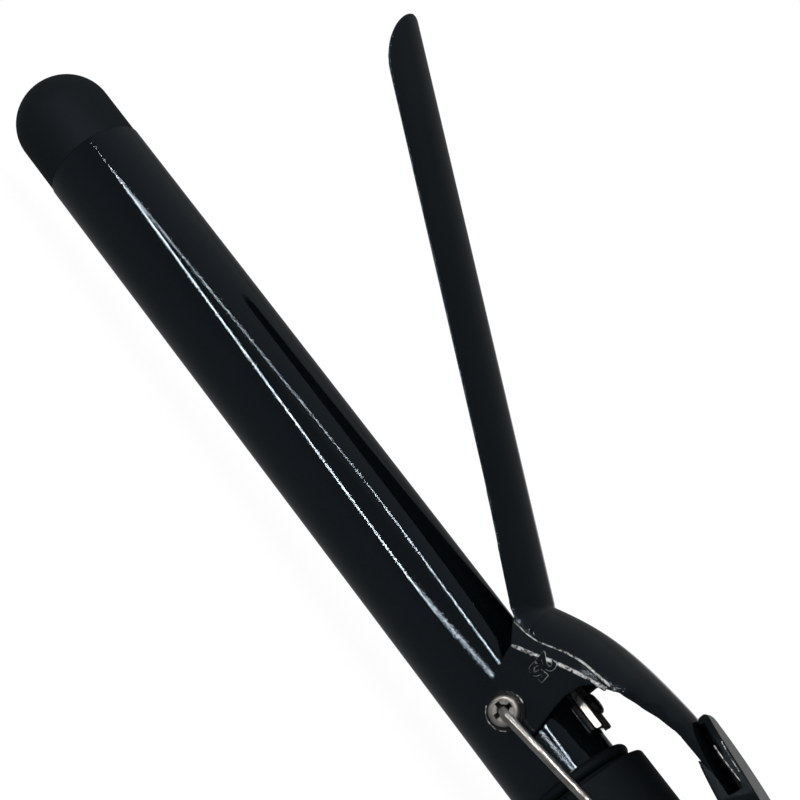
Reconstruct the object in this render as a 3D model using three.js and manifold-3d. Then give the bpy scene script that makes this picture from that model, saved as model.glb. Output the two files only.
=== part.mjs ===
// Spring-clamp curling iron, 25 mm barrel, shown with its clamp held open.
// Units are millimetres. The barrel lies along X with its tip at -X, the thumb lever is up (+Z),
// and the origin is the bottom centre of the whole iron, under the barrel's axis.
import * as THREE from "three";
import { mergeVertices } from "three/addons/utils/BufferGeometryUtils.js";
import Module from "manifold-3d";

const wasm = await Module();
wasm.setup();

const rad = THREE.MathUtils.degToRad;

// ---- Driving sizes -------------------------------------------------------------------------

const SLIDING_GAP = 0.3; // between pieces that move past each other or slip together
const SEAT_GAP = 0.1; // between pieces that are screwed or pressed together

const BARREL_D = 25;
const BARREL_WALL = 0.8;
const BARREL_REACH = 170; // pivot to the front edge of the tube
const BARREL_TAIL = 46; // pivot to the rear edge, inside the handle

const CAP_D = 24.6;
const CAP_WALL = 1.8;
const CAP_STRAIGHT = 13.2;
const CAP_DOME = 11.7;
const CAP_SPIGOT = 9;

const HEATER_LENGTH = 126;
const HEATER_FRONT_GAP = 14; // between the cap's spigot and the heater
const HEATER_W = 13;
const HEATER_T = 2.6;

const SHEET = 0.7; // the clamp's steel
const SPOON_CLEARANCE = 0.3; // to the barrel, clamp shut
const SPOON_HALF_ANGLE = rad(59);
const SPOON_FLARE = rad(3.5); // how much deeper it is at its root
const SPOON_FLARE_LENGTH = 30;
const SPOON_END = 165; // pivot to the spoon's tip
const SPOON_NOSE = 16.3; // length of the rounded tip
const CLAMP_OPEN = rad(25); // how far the clamp is held open
const EAR_STEP = 2.5; // the barrel's surface to the ear's outer face
const EAR_LOBE_R = 5;
const STRAP_W = 15; // the lever's narrow end
const PIVOT_Z = 0.7; // the clamp's pivot is a little above the barrel's axis

const SCREW_HEAD_D = 7.2;
const SCREW_HEAD_H = 2;
const SCREW_SHANK_D = 4.4;
const SCREW_REACH = 2.3; // how far its shank goes in past the barrel's surface
const WASHER_D = 8.8;
const WASHER_T = 0.6;
const BUSH_D = 6.4;

const WIRE_D = 2.25;
const WIRE_RISE = rad(6.3); // folded stand's arms, from the barrel's axis
const WIRE_BEND_R = 2;
const STAND_ARM = 50;
const FOOT_BEND_R = 5;
const FOOT_CORNER_R = 7;
const FOOT_CLEARANCE = 1;

const BRACKET_T = 1;
const BRACKET_FRONT = -7;
const TONGUE_END = 14;
const TONGUE_W = 9;
const LEAF_T = 0.55;
const LEAF_W = 11;

const COLLAR_WALL = 1.5;
const BEAD_HEIGHT = 2.2; // over the barrel's surface
const BEAD_FRONT = 18.4;
const BEAD_LENGTH = 2.9;

const HANDLE_FRONT = 22;
const HANDLE_LENGTH = 132;
const HANDLE_STEP = 4.2; // the barrel's surface to the handle's, at its front
const HANDLE_WAIST = 1.2; // how much thinner it is in the middle
const HANDLE_TAIL = 0.7; // how much it grows again at the rear
const HANDLE_WALL = 1.9;
const FRONT_SCREW = 31.5; // from the handle's front
const REAR_SCREW = 20; // from its rear
const SCREW_PILLAR_R = 3.4;
const SHELL_SCREW_D = 2.9;

const BOARD_W = 20;
const BOARD_T = 1.6;
const BOARD_TOP = -1.4;

const LENS_FROM_REAR = 34;
const SLIDER_TO_LENS = 20; // slider at off
const SLIDER_TRAVEL = 4;
const SLIDER_TAB = 8;
const SLIDER_W = 4.6;
const LENS_D = 4;

const REAR_CAP_LENGTH = 4;
const GLAND_R = 6;
const GLAND_LENGTH = 18;
const CORD_BORE = 6.8;

// ---- Sizes that follow ---------------------------------------------------------------------

const BARREL_R = BARREL_D / 2;
const TUBE_BORE_R = BARREL_R - BARREL_WALL;
const HANDLE_REAR = HANDLE_FRONT + HANDLE_LENGTH;
const HANDLE_R = BARREL_R + HANDLE_STEP;
const HANDLE_WAIST_R = HANDLE_R - HANDLE_WAIST;
const HANDLE_TAIL_R = HANDLE_WAIST_R + HANDLE_TAIL;
const BEAD_R = BARREL_R + BEAD_HEIGHT;
const SPOON_IN = BARREL_R + SPOON_CLEARANCE;
const SPOON_R = SPOON_IN + SHEET;
const EAR_OUTSIDE = BARREL_R + EAR_STEP;
const EAR_INSIDE = EAR_OUTSIDE - SHEET;
const SCREW_INNER = BARREL_R - SCREW_REACH;
const BRACKET_OUT = EAR_INSIDE - SLIDING_GAP;
const BRACKET_IN = BRACKET_OUT - BRACKET_T;
const WASHER_Y = EAR_OUTSIDE + SEAT_GAP;
const HEAD_Y = WASHER_Y + WASHER_T + SEAT_GAP;
const HEAD_TOP = HEAD_Y + SCREW_HEAD_H;
const WIRE_R = WIRE_D / 2;
const WIRE_BORE_R = WIRE_R + SLIDING_GAP;
const ARM_Y = HEAD_TOP + SLIDING_GAP + WIRE_R;
const TIP_X = -BARREL_REACH - SLIDING_GAP - CAP_STRAIGHT - CAP_DOME;
const GLAND_END = HANDLE_REAR + REAR_CAP_LENGTH + GLAND_LENGTH;
const LEAF_R = BARREL_R + SEAT_GAP;
const TONGUE_Z = LEAF_R + LEAF_T + SEAT_GAP;
const TONGUE_TOP = TONGUE_Z + BRACKET_T;
const LIP_Y = TONGUE_W / 2 - 0.7; // the tongue's edges turn down towards the leaf
const LIP_Z = Math.sqrt((LEAF_R + LEAF_T) ** 2 - LIP_Y ** 2) + SEAT_GAP;
const FOOT_Z = -(HANDLE_R + FOOT_CLEARANCE + WIRE_R);
const FLOOR_Z = FOOT_Z - WIRE_R;
const LENS_X = HANDLE_REAR - LENS_FROM_REAR;
const SLIDER_X = LENS_X - SLIDER_TO_LENS;
const SHELL_SCREW_X = [HANDLE_FRONT + FRONT_SCREW, HANDLE_REAR - REAR_SCREW];
const BOARD_FROM = SHELL_SCREW_X[0] + SCREW_PILLAR_R + 1.1;
const BOARD_TO = SHELL_SCREW_X[1] - SCREW_PILLAR_R - 4.6;

// ---- Materials -----------------------------------------------------------------------------

function paint(color, roughness, metalness = 0) {
  return new THREE.MeshStandardMaterial({ color, roughness, metalness });
}
const GLOSS_COAT = paint(0x14181c, 0.12, 0.2);
const SATIN_COAT = paint(0x171b1f, 0.38, 0.2);
const GLOSS_PLASTIC = paint(0x121517, 0.15);
const MATT_PLASTIC = paint(0x16191c, 0.5);
const STEEL = paint(0xb9bbbd, 0.25, 1);
const SPRING_STEEL = paint(0xa9abae, 0.2, 1);
const BLACK_STEEL = paint(0x1b1d20, 0.4, 0.6);
const ALUMINIUM = paint(0xc4c6c8, 0.45, 1);
const CERAMIC = paint(0xe6e1d6, 0.6);
const BOARD_GREEN = paint(0x1f5a38, 0.5);
const LEAD_RED = paint(0x9a2a22, 0.5);
const LEAD_WHITE = paint(0xdedcd6, 0.5);
const AMBER = paint(0xc24a1c, 0.2);

// ---- Solid modelling -----------------------------------------------------------------------

const group = new THREE.Group();

function solid(geometry) {
  const bare = geometry.index ? geometry.toNonIndexed() : geometry.clone();
  bare.deleteAttribute("normal");
  bare.deleteAttribute("uv");
  const welded = mergeVertices(bare, 1e-4);
  const mesh = new wasm.Mesh({
    numProp: 3,
    vertProperties: new Float32Array(welded.attributes.position.array),
    triVerts: new Uint32Array(welded.index.array),
  });
  return new wasm.Manifold(mesh);
}

function geometryOf(manifold) {
  const mesh = manifold.getMesh();
  const geometry = new THREE.BufferGeometry();
  geometry.setAttribute("position", new THREE.BufferAttribute(mesh.vertProperties, 3));
  geometry.setIndex(new THREE.BufferAttribute(mesh.triVerts, 1));
  const flat = geometry.toNonIndexed();
  flat.computeVertexNormals();
  return flat;
}

function piece(name, manifold, material, parent = group) {
  const mesh = new THREE.Mesh(geometryOf(manifold), material);
  mesh.name = name;
  parent.add(mesh);
  return mesh;
}

function union(solids) {
  return solids.reduce((whole, next) => whole.add(next));
}

function outline(points) {
  return new THREE.Shape(points.map(([x, y]) => new THREE.Vector2(x, y)));
}

// A closed profile of [along, radius] points turned about the X axis.
function turned(profile, segments = 30) {
  const points = [...profile, profile[0]].map(([along, r]) => new THREE.Vector2(r, along));
  const shape = outline(profile);
  const wound = THREE.ShapeUtils.area(shape.getPoints()) > 0 ? points.reverse() : points;
  return solid(new THREE.LatheGeometry(wound, segments).rotateZ(-Math.PI / 2));
}

// The same about the Y axis, for pieces on the clamp's pivot.
function turnedOnPivot(profile, segments = 16) {
  return turned(profile, segments).rotate([0, 0, 90]).translate([0, 0, PIVOT_Z]);
}

// The same about a vertical axis through (x, 0).
function turnedUpright(profile, x, segments = 16) {
  return turned(profile, segments).rotate([0, -90, 0]).translate([x, 0, 0]);
}

// A side view (x, z) with thickness from yFrom to yTo.
function plate(shape, yFrom, yTo, curveSegments = 7) {
  const options = { depth: yTo - yFrom, bevelEnabled: false, curveSegments };
  const geometry = new THREE.ExtrudeGeometry(shape, options);
  return solid(geometry.rotateX(Math.PI / 2).translate(0, yTo, 0));
}

// A cross-section (y, z) with length from xFrom to xTo.
function bar(shape, xFrom, xTo, curveSegments = 6) {
  const options = { depth: xTo - xFrom, bevelEnabled: false, curveSegments };
  const geometry = new THREE.ExtrudeGeometry(shape, options);
  const basis = new THREE.Matrix4().set(0, 0, 1, xFrom, 1, 0, 0, 0, 0, 1, 0, 0, 0, 0, 0, 1);
  return solid(geometry.applyMatrix4(basis));
}

function block([x0, y0, z0], [x1, y1, z1]) {
  const geometry = new THREE.BoxGeometry(x1 - x0, y1 - y0, z1 - z0);
  return solid(geometry.translate((x0 + x1) / 2, (y0 + y1) / 2, (z0 + z1) / 2));
}

function circle(radius, x = 0, y = 0) {
  return new THREE.Shape().absarc(x, y, radius, 0, 2 * Math.PI);
}

// A round wire along a path.
function wire(path, radius, steps, sides) {
  const section = circle(radius).getPoints(sides / 2).slice(0, -1);
  const options = { steps, extrudePath: path, bevelEnabled: false };
  return solid(new THREE.ExtrudeGeometry(new THREE.Shape(section), options));
}

// A solid through rings of points, each ring closed by a cap of quads between its two halves.
function lofted(rings) {
  const count = rings[0].length;
  const half = count / 2;
  const positions = rings.flat().flatMap((p) => [p.x, p.y, p.z]);
  const index = [];
  const quad = (a, b, c, d) => index.push(a, c, b, a, d, c);
  for (let i = 0; i + 1 < rings.length; i++) {
    for (let j = 0; j < count; j++) {
      const next = (j + 1) % count;
      quad(i * count + j, i * count + next, (i + 1) * count + next, (i + 1) * count + j);
    }
  }
  const last = (rings.length - 1) * count;
  for (let j = 0; j + 1 < half; j++) {
    const across = count - 1 - j;
    quad(j, across, across - 1, j + 1);
    quad(last + j, last + j + 1, last + across - 1, last + across);
  }
  const geometry = new THREE.BufferGeometry();
  geometry.setAttribute("position", new THREE.Float32BufferAttribute(positions, 3));
  geometry.setIndex(index);
  return solid(geometry);
}

// ---- Barrel and tip ------------------------------------------------------------------------

const FIT_R = TUBE_BORE_R - SLIDING_GAP;

function barrelTube() {
  const profile = [
    [-BARREL_REACH, TUBE_BORE_R],
    [-BARREL_REACH, BARREL_R - 0.25],
    [-BARREL_REACH + 0.25, BARREL_R],
    [BARREL_TAIL, BARREL_R],
    [BARREL_TAIL, TUBE_BORE_R],
  ];
  const tube = turned(profile, 48);
  const bushHole = BUSH_D / 2 + SLIDING_GAP;
  const across = turnedOnPivot([
    [-BARREL_D, 0],
    [-BARREL_D, bushHole],
    [BARREL_D, bushHole],
    [BARREL_D, 0],
  ]);
  const tapped = turnedUpright([[0, 0], [0, 1.6], [BARREL_D, 1.6], [BARREL_D, 0]], SPRING_SCREW_X);
  return tube.subtract(across).subtract(tapped);
}

function tipCap() {
  const r = CAP_D / 2;
  const front = -BARREL_REACH - SLIDING_GAP;
  const dome = front - CAP_STRAIGHT;
  const quarter = (inset, steps) => Array.from({ length: steps + 1 }, (_, i) => {
    const turn = (i / steps) * (Math.PI / 2);
    return [dome - (CAP_DOME - inset) * Math.cos(turn), (r - inset) * Math.sin(turn)];
  });
  const outside = quarter(0, 8);
  const inside = quarter(CAP_WALL, 3).reverse();
  const spigot = [
    [front, r],
    [front, FIT_R],
    [front + CAP_SPIGOT, FIT_R],
    [front + CAP_SPIGOT, FIT_R - CAP_WALL],
    [dome, FIT_R - CAP_WALL],
  ];
  return turned([...outside, ...spigot, ...inside], 32);
}

const SPRING_SCREW_X = 8.6;
const HEATER_FRONT = -BARREL_REACH + CAP_SPIGOT + HEATER_FRONT_GAP;
const HEATER_REAR = HEATER_FRONT + HEATER_LENGTH;
const SPREADER_OVERHANG = 6;

// Half-round aluminium block that carries heat from the flat element to the tube.
function heatSpreader(side) {
  const r = FIT_R;
  const flat = HEATER_T / 2 + SEAT_GAP;
  const from = Math.asin(flat / r);
  const shape = new THREE.Shape().absarc(0, 0, r, from, Math.PI - from);
  const cores = [-5, 5].map((y) => circle(1.7, y, 5.4));
  shape.holes.push(circle(FUSE_BORE_R, 0, 7), ...cores);
  const half = bar(shape, HEATER_FRONT - SPREADER_OVERHANG, HEATER_REAR + SPREADER_OVERHANG, 8);
  return side > 0 ? half : half.rotate([180, 0, 0]);
}

const FUSE_D = 4;
const FUSE_BORE_R = FUSE_D / 2 + SLIDING_GAP;

function elementInSpreader(length, diameter, side) {
  const rear = HEATER_REAR + SPREADER_OVERHANG + 2;
  const r = diameter / 2;
  const profile = [
    [rear - length, 0],
    [rear - length, r * 0.7],
    [rear - length + 0.8, r],
    [rear - 0.8, r],
    [rear, r * 0.7],
    [rear, 0],
  ];
  return turned(profile, 12).translate([0, 0, side * 7]);
}

function heaterLead(side) {
  const path = new THREE.CatmullRomCurve3([
    new THREE.Vector3(HEATER_REAR + SLIDING_GAP, side * 3, 0),
    new THREE.Vector3(HEATER_REAR + 20, side * 3.4, 0.4),
    new THREE.Vector3(10, side * 5, 1),
    new THREE.Vector3(BARREL_TAIL, side * 6.6, 0.6),
    new THREE.Vector3(BOARD_FROM - 4, side * 6.6, 0.4),
    new THREE.Vector3(BOARD_FROM + 3, side * 6.6, BOARD_TOP + 1.4),
  ]);
  return wire(path, 0.8, 12, 8);
}

piece("barrel_tube", barrelTube(), GLOSS_COAT);
piece("tip_cap", tipCap(), GLOSS_PLASTIC);
piece("heat_spreader_upper", heatSpreader(1), ALUMINIUM);
piece("heat_spreader_lower", heatSpreader(-1), ALUMINIUM);
piece(
  "ptc_heater",
  block([HEATER_FRONT, -HEATER_W / 2, -HEATER_T / 2], [HEATER_REAR, HEATER_W / 2, HEATER_T / 2]),
  CERAMIC,
);
piece("thermal_fuse", elementInSpreader(12, FUSE_D, 1), CERAMIC);
piece("temperature_sensor", elementInSpreader(8, FUSE_D, -1), CERAMIC);
piece("heater_lead_live", heaterLead(-1), LEAD_RED);
piece("heater_lead_neutral", heaterLead(1), LEAD_WHITE);

// ---- Pivot bracket, leaf spring and pivot screws -------------------------------------------

// Folded steel bracket: two lugs with threaded bushes that reach through the barrel's wall,
// and a tongue over the barrel that clamps the leaf spring.
function pivotBracket() {
  const arch = (half, top, corner) => {
    const shape = new THREE.Shape();
    shape.moveTo(-half, -EAR_LOBE_R);
    shape.lineTo(half, -EAR_LOBE_R);
    shape.lineTo(half, top - corner);
    shape.absarc(half - corner, top - corner, corner, 0, Math.PI / 2);
    shape.absarc(corner - half, top - corner, corner, Math.PI / 2, Math.PI);
    return shape;
  };
  const channel = bar(arch(BRACKET_OUT, TONGUE_TOP, 8), BRACKET_FRONT, TONGUE_END);
  const hollow = bar(arch(BRACKET_IN, TONGUE_Z, 8 - BRACKET_T), BRACKET_FRONT - 1, TONGUE_END + 1);

  const lobe = EAR_LOBE_R - 0.4;
  const side = new THREE.Shape();
  side.moveTo(BRACKET_FRONT, TONGUE_TOP + 1);
  side.lineTo(BRACKET_FRONT, 9);
  side.lineTo(-lobe, PIVOT_Z + 1);
  side.absarc(0, PIVOT_Z, lobe, Math.PI, 2 * Math.PI);
  side.lineTo(lobe - 0.4, 9);
  side.quadraticCurveTo(lobe - 0.4, 12, lobe + 2, 12);
  side.lineTo(TONGUE_END, 12);
  side.lineTo(TONGUE_END, TONGUE_TOP + 1);
  const outlineCut = plate(side, -BRACKET_OUT - 1, BRACKET_OUT + 1);

  const wide = block([BRACKET_FRONT - 1, -EAR_INSIDE, -10], [lobe - 0.4, EAR_INSIDE, 20]);
  const narrow = block([0, -TONGUE_W / 2, TONGUE_Z - 1], [TONGUE_END + 1, TONGUE_W / 2, 20]);
  let bracket = channel.subtract(hollow).intersect(outlineCut).intersect(wide.add(narrow));
  for (const end of [-1, 1]) {
    const lip = [LIP_Y, TONGUE_W / 2].map((y) => y * end).sort((a, b) => a - b);
    bracket = bracket.add(block([lobe, lip[0], LIP_Z], [TONGUE_END, lip[1], TONGUE_Z + 0.2]));
  }

  const bore = SCREW_SHANK_D / 2 + SEAT_GAP;
  for (const end of [-1, 1]) {
    const bush = turnedOnPivot([
      [SCREW_INNER, bore],
      [SCREW_INNER, BUSH_D / 2],
      [BRACKET_IN + 0.3, BUSH_D / 2],
      [BRACKET_IN + 0.3, bore],
    ]);
    const hole = turnedOnPivot([[0, 0], [0, bore], [BARREL_D, bore], [BARREL_D, 0]]);
    bracket = bracket.subtract(end > 0 ? hole : hole.rotate([0, 0, 180]));
    bracket = bracket.add(end > 0 ? bush : bush.rotate([0, 0, 180]));
  }
  const clearance = [[0, 0], [0, 1.65], [BARREL_D, 1.65], [BARREL_D, 0]];
  return bracket.subtract(turnedUpright(clearance, SPRING_SCREW_X));
}

// Flat spring: a curved strip on the barrel, then a return bend whose free leg bears on the
// inside of the lever.
function clampSpring() {
  const half = Math.asin(LEAF_W / 2 / LEAF_R);
  const inner = LEAF_R;
  const outer = LEAF_R + LEAF_T;
  const curved = new THREE.Shape();
  curved.absarc(0, 0, outer, Math.PI / 2 - half, Math.PI / 2 + half);
  curved.absarc(0, 0, inner, Math.PI / 2 + half, Math.PI / 2 - half, true);
  const strip = bar(curved, LEAF_BEND_X, TONGUE_END - 0.6);

  const mid = LEAF_R + LEAF_T / 2;
  const path = new THREE.CurvePath();
  const bendR = 3.4;
  const rise = rad(29);
  const bend = new THREE.Path();
  bend.moveTo(LEAF_BEND_X + 1.5, mid);
  bend.lineTo(LEAF_BEND_X, mid);
  bend.absarc(LEAF_BEND_X, mid + bendR, bendR, -Math.PI / 2, rise + Math.PI / 2 - Math.PI * 2, true);
  path.add(bend);
  const centre = path.curves[0].getPoints(14);
  const end = centre[centre.length - 1];
  const reach = 12.5;
  centre.push(new THREE.Vector2(end.x + reach * Math.cos(rise), end.y + reach * Math.sin(rise)));
  const ribbon = ribbonAlong(centre, LEAF_T);
  const leg = plate(ribbon, -LEG_W / 2, LEG_W / 2);
  const hole = turnedUpright([[0, 0], [0, 1.65], [BARREL_D, 1.65], [BARREL_D, 0]], SPRING_SCREW_X);
  return strip.subtract(hole).add(leg);
}

const LEAF_BEND_X = BARREL_R * Math.sin(CLAMP_OPEN) - 13.9; // follows the open lever's foot
const LEG_W = 7;

// The outline of a strip of even thickness along a line of points.
function ribbonAlong(line, thickness) {
  const left = [];
  const right = [];
  line.forEach((point, i) => {
    const before = line[Math.max(i - 1, 0)];
    const after = line[Math.min(i + 1, line.length - 1)];
    const across = after.clone().sub(before).normalize().rotateAround(new THREE.Vector2(), Math.PI / 2);
    left.push(point.clone().addScaledVector(across, thickness / 2));
    right.unshift(point.clone().addScaledVector(across, -thickness / 2));
  });
  return new THREE.Shape([...left, ...right]);
}

// Cross recess cut into a screw head whose top is at the given height on X.
function crossRecess(top, size, depth) {
  const arm = size / 2;
  const half = size * 0.13;
  const tall = block([top - depth, -half, -arm], [top + 1, half, arm]);
  const wide = block([top - depth, -arm, -half], [top + 1, arm, half]);
  return tall.add(wide);
}

function springScrew() {
  const head = TONGUE_TOP + SEAT_GAP;
  const top = head + 1.6;
  const body = turned([
    [BARREL_R - 4, 0],
    [BARREL_R - 4, 1.2],
    [BARREL_R - 3.6, 1.5],
    [head, 1.5],
    [head, 2.6],
    [head + 0.9, 2.6],
    [top - 0.25, 2.1],
    [top, 1.2],
    [top, 0],
  ], 16);
  return body.subtract(crossRecess(top, 2.8, 0.9)).rotate([0, -90, 0]).translate([SPRING_SCREW_X, 0, 0]);
}

// Hollow pivot screw: the wire stand's end turns in its bore.
function pivotScrew() {
  const r = SCREW_HEAD_D / 2;
  const shank = SCREW_SHANK_D / 2;
  const body = turned([
    [SCREW_INNER, WIRE_BORE_R],
    [SCREW_INNER, shank],
    [HEAD_Y, shank],
    [HEAD_Y, r],
    [HEAD_TOP - 0.6, r],
    [HEAD_TOP - 0.15, r - 0.3],
    [HEAD_TOP, r - 0.8],
    [HEAD_TOP, WIRE_BORE_R],
  ], 20);
  const recess = crossRecess(HEAD_TOP, SCREW_HEAD_D * 0.76, 1.1).rotate([45, 0, 0]);
  return body.subtract(recess).translate([0, 0, PIVOT_Z]);
}

function pivotWasher() {
  const bore = SCREW_SHANK_D / 2 + SLIDING_GAP;
  const r = WASHER_D / 2;
  return turned([
    [WASHER_Y, bore],
    [WASHER_Y, r],
    [WASHER_Y + WASHER_T - 0.2, r],
    [WASHER_Y + WASHER_T, r - 0.2],
    [WASHER_Y + WASHER_T, bore],
  ], 16).translate([0, 0, PIVOT_Z]);
}

piece("pivot_bracket", pivotBracket(), BLACK_STEEL);
piece("clamp_spring", clampSpring(), SPRING_STEEL);
piece("spring_screw", springScrew(), BLACK_STEEL);
for (const [name, turn] of [["near", -90], ["far", 90]]) {
  piece(`pivot_screw_${name}`, pivotScrew().rotate([0, 0, turn]), STEEL);
  piece(`pivot_washer_${name}`, pivotWasher().rotate([0, 0, turn]), BLACK_STEEL);
}

// ---- Clamp: spoon, ears and lever pressed from one sheet ------------------------------------

// The clamp is drawn shut, then turned open about the pivot.
const clamp = new THREE.Group();
clamp.name = "clamp";
clamp.position.z = PIVOT_Z;
clamp.rotation.y = CLAMP_OPEN;
group.add(clamp);

const ROOT_X = -21.6; // where the spoon ends and the lever rises
const ROOT_HALF_ANGLE = SPOON_HALF_ANGLE + SPOON_FLARE;
const LEVER_CURVE = new THREE.Path()
  .moveTo(-20.6, SPOON_R + 0.4)
  .bezierCurveTo(-13.4, SPOON_R + 9.9, -7.5, SPOON_R + 15, 8.5, SPOON_R + 24.1)
  .bezierCurveTo(12, SPOON_R + 26.1, 18, SPOON_R + 27.6, 27, SPOON_R + 30.8)
  .lineTo(40.8, SPOON_R + 35.7);

// Half-width and depth of the pressed channel along the lever, by distance from its foot.
const LEVER_SECTIONS = [
  [0, SPOON_R - 1.4, 7.5],
  [10, EAR_OUTSIDE - 1.8, 8.6],
  [20, EAR_OUTSIDE - 0.6, 7.5],
  [26, EAR_OUTSIDE - 0.1, 6.9],
  [31, EAR_OUTSIDE - 1.6, 6],
  [36, STRAP_W / 2 + 3.5, 5],
  [42, STRAP_W / 2 + 1.7, 4.2],
  [50, STRAP_W / 2 + 0.3, 3.4],
  [90, STRAP_W / 2, 2.9],
];

function between(table, at) {
  const next = Math.max(1, table.findIndex(([key]) => key >= at));
  const [a, b] = [table[next - 1], table[next]];
  const share = THREE.MathUtils.smoothstep(at, a[0], b[0]);
  const even = (at - a[0]) / (b[0] - a[0]);
  const mix = 0.5 * share + 0.5 * even;
  return a.map((value, i) => THREE.MathUtils.lerp(value, b[i], mix));
}

// One ring of the sheet: an arch of the given half-width and depth whose crown is at a point of
// the centre line, square to its direction, outside first and back along the inside.
function archRing(crown, direction, halfWidth, depth, sweep, steps = 9) {
  const down = new THREE.Vector2(direction.y, -direction.x);
  const ring = [];
  const arc = (width, high, inset, turn) => {
    const y = (width * Math.sin(turn)) / Math.sin(sweep);
    const fall = inset + (high * (1 - Math.cos(turn))) / (1 - Math.cos(sweep));
    ring.push(new THREE.Vector3(crown.x + down.x * fall, y, crown.y + down.y * fall));
  };
  for (let i = 0; i <= steps; i++) arc(halfWidth, depth, 0, sweep * ((2 * i) / steps - 1));
  for (let i = steps; i >= 0; i--) {
    arc(halfWidth - SHEET, depth - SHEET * 0.8, SHEET, sweep * ((2 * i) / steps - 1));
  }
  return ring;
}

function spoonRing(x, halfAngle, steps = 9) {
  const ring = [];
  const arc = (r, turn) => ring.push(new THREE.Vector3(x, r * Math.sin(turn), r * Math.cos(turn)));
  for (let i = 0; i <= steps; i++) arc(SPOON_R, halfAngle * ((2 * i) / steps - 1));
  for (let i = steps; i >= 0; i--) arc(SPOON_IN, halfAngle * ((2 * i) / steps - 1));
  return ring;
}

function clampSheet() {
  const rings = [];
  const noseSteps = 7;
  for (let i = 0; i < noseSteps; i++) {
    const turn = rad(4) + (i / noseSteps) * rad(86);
    const x = -SPOON_END + SPOON_NOSE * (1 - Math.cos(turn));
    rings.push(spoonRing(x, SPOON_HALF_ANGLE * Math.sin(turn)));
  }
  rings.push(spoonRing(-SPOON_END + SPOON_NOSE, SPOON_HALF_ANGLE));
  rings.push(spoonRing(ROOT_X - SPOON_FLARE_LENGTH, SPOON_HALF_ANGLE));
  rings.push(spoonRing(ROOT_X - SPOON_FLARE_LENGTH / 3, SPOON_HALF_ANGLE + SPOON_FLARE / 3));
  rings.push(spoonRing(ROOT_X, ROOT_HALF_ANGLE));

  const foot = LEVER_CURVE.getPointAt(0);
  const start = LEVER_CURVE.getTangentAt(0);
  const turnSteps = 4;
  for (let i = 1; i < turnSteps; i++) {
    const share = i / turnSteps;
    const crown = new THREE.Vector2(ROOT_X, SPOON_R).lerp(foot, share);
    crown.y -= 0.35 * Math.sin(Math.PI * share);
    const slope = Math.atan2(start.y, start.x) * share;
    const direction = new THREE.Vector2(Math.cos(slope), Math.sin(slope));
    const sweep = THREE.MathUtils.lerp(ROOT_HALF_ANGLE, rad(72), share);
    rings.push(archRing(crown, direction, SPOON_R * Math.sin(sweep) - 0.4 * share, 7.1, sweep));
  }
  const leverSteps = 12;
  const length = LEVER_CURVE.getLength();
  for (let i = 0; i <= leverSteps; i++) {
    const u = i / leverSteps;
    const [, halfWidth, depth] = between(LEVER_SECTIONS, u * length);
    const sweep = THREE.MathUtils.lerp(rad(72), rad(82), Math.min(1, u * 3));
    rings.push(archRing(LEVER_CURVE.getPointAt(u), LEVER_CURVE.getTangentAt(u), halfWidth, depth, sweep));
  }
  return lofted(rings);
}

// The line along which the sheet's lower edge is joggled out to the ear, and the edge of the
// flat ear that the joggle ends on, both from the spoon's side to the lever's, as [x, z].
const SPOON_EDGE_Z = SPOON_R * Math.cos(SPOON_HALF_ANGLE);
const JOGGLE_INNER = [
  [-19.4, SPOON_EDGE_Z - 1.4, SPOON_R - 1.6],
  [-13.6, SPOON_EDGE_Z + 2.8, SPOON_R - 1.2],
  [-7.4, SPOON_R + 4.4, EAR_OUTSIDE - 1.6],
  [0.6, SPOON_R + 10.1, EAR_OUTSIDE - 0.2],
];
const JOGGLE_OUTER = [
  [-13.7, 4.2],
  [-10.3, SPOON_R - 4.6],
  [-7.4, SPOON_R - 0.3],
  [-2.9, SPOON_R + 5.7],
  [2, SPOON_R + 11.4],
];

function curveThrough(points) {
  return new THREE.CatmullRomCurve3(points.map(([x, z, y = EAR_OUTSIDE]) => new THREE.Vector3(x, y, z)));
}

function joggle(side) {
  const steps = 8;
  const inner = curveThrough(JOGGLE_INNER);
  const outer = curveThrough(JOGGLE_OUTER);
  const rings = [];
  for (let i = 0; i <= steps; i++) {
    const a = inner.getPoint(i / steps);
    const b = outer.getPoint(i / steps);
    const along = b.clone().sub(a).setY(0).normalize().multiplyScalar(0.35);
    a.sub(along);
    b.add(along);
    const back = new THREE.Vector3(0, -SHEET, 0);
    const ring = [a, b, b.clone().add(back), a.clone().add(back)];
    rings.push(ring);
  }
  const strip = lofted(rings).translate([0, 0, PIVOT_Z]);
  return side > 0 ? strip : strip.mirror([0, 1, 0]);
}

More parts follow.
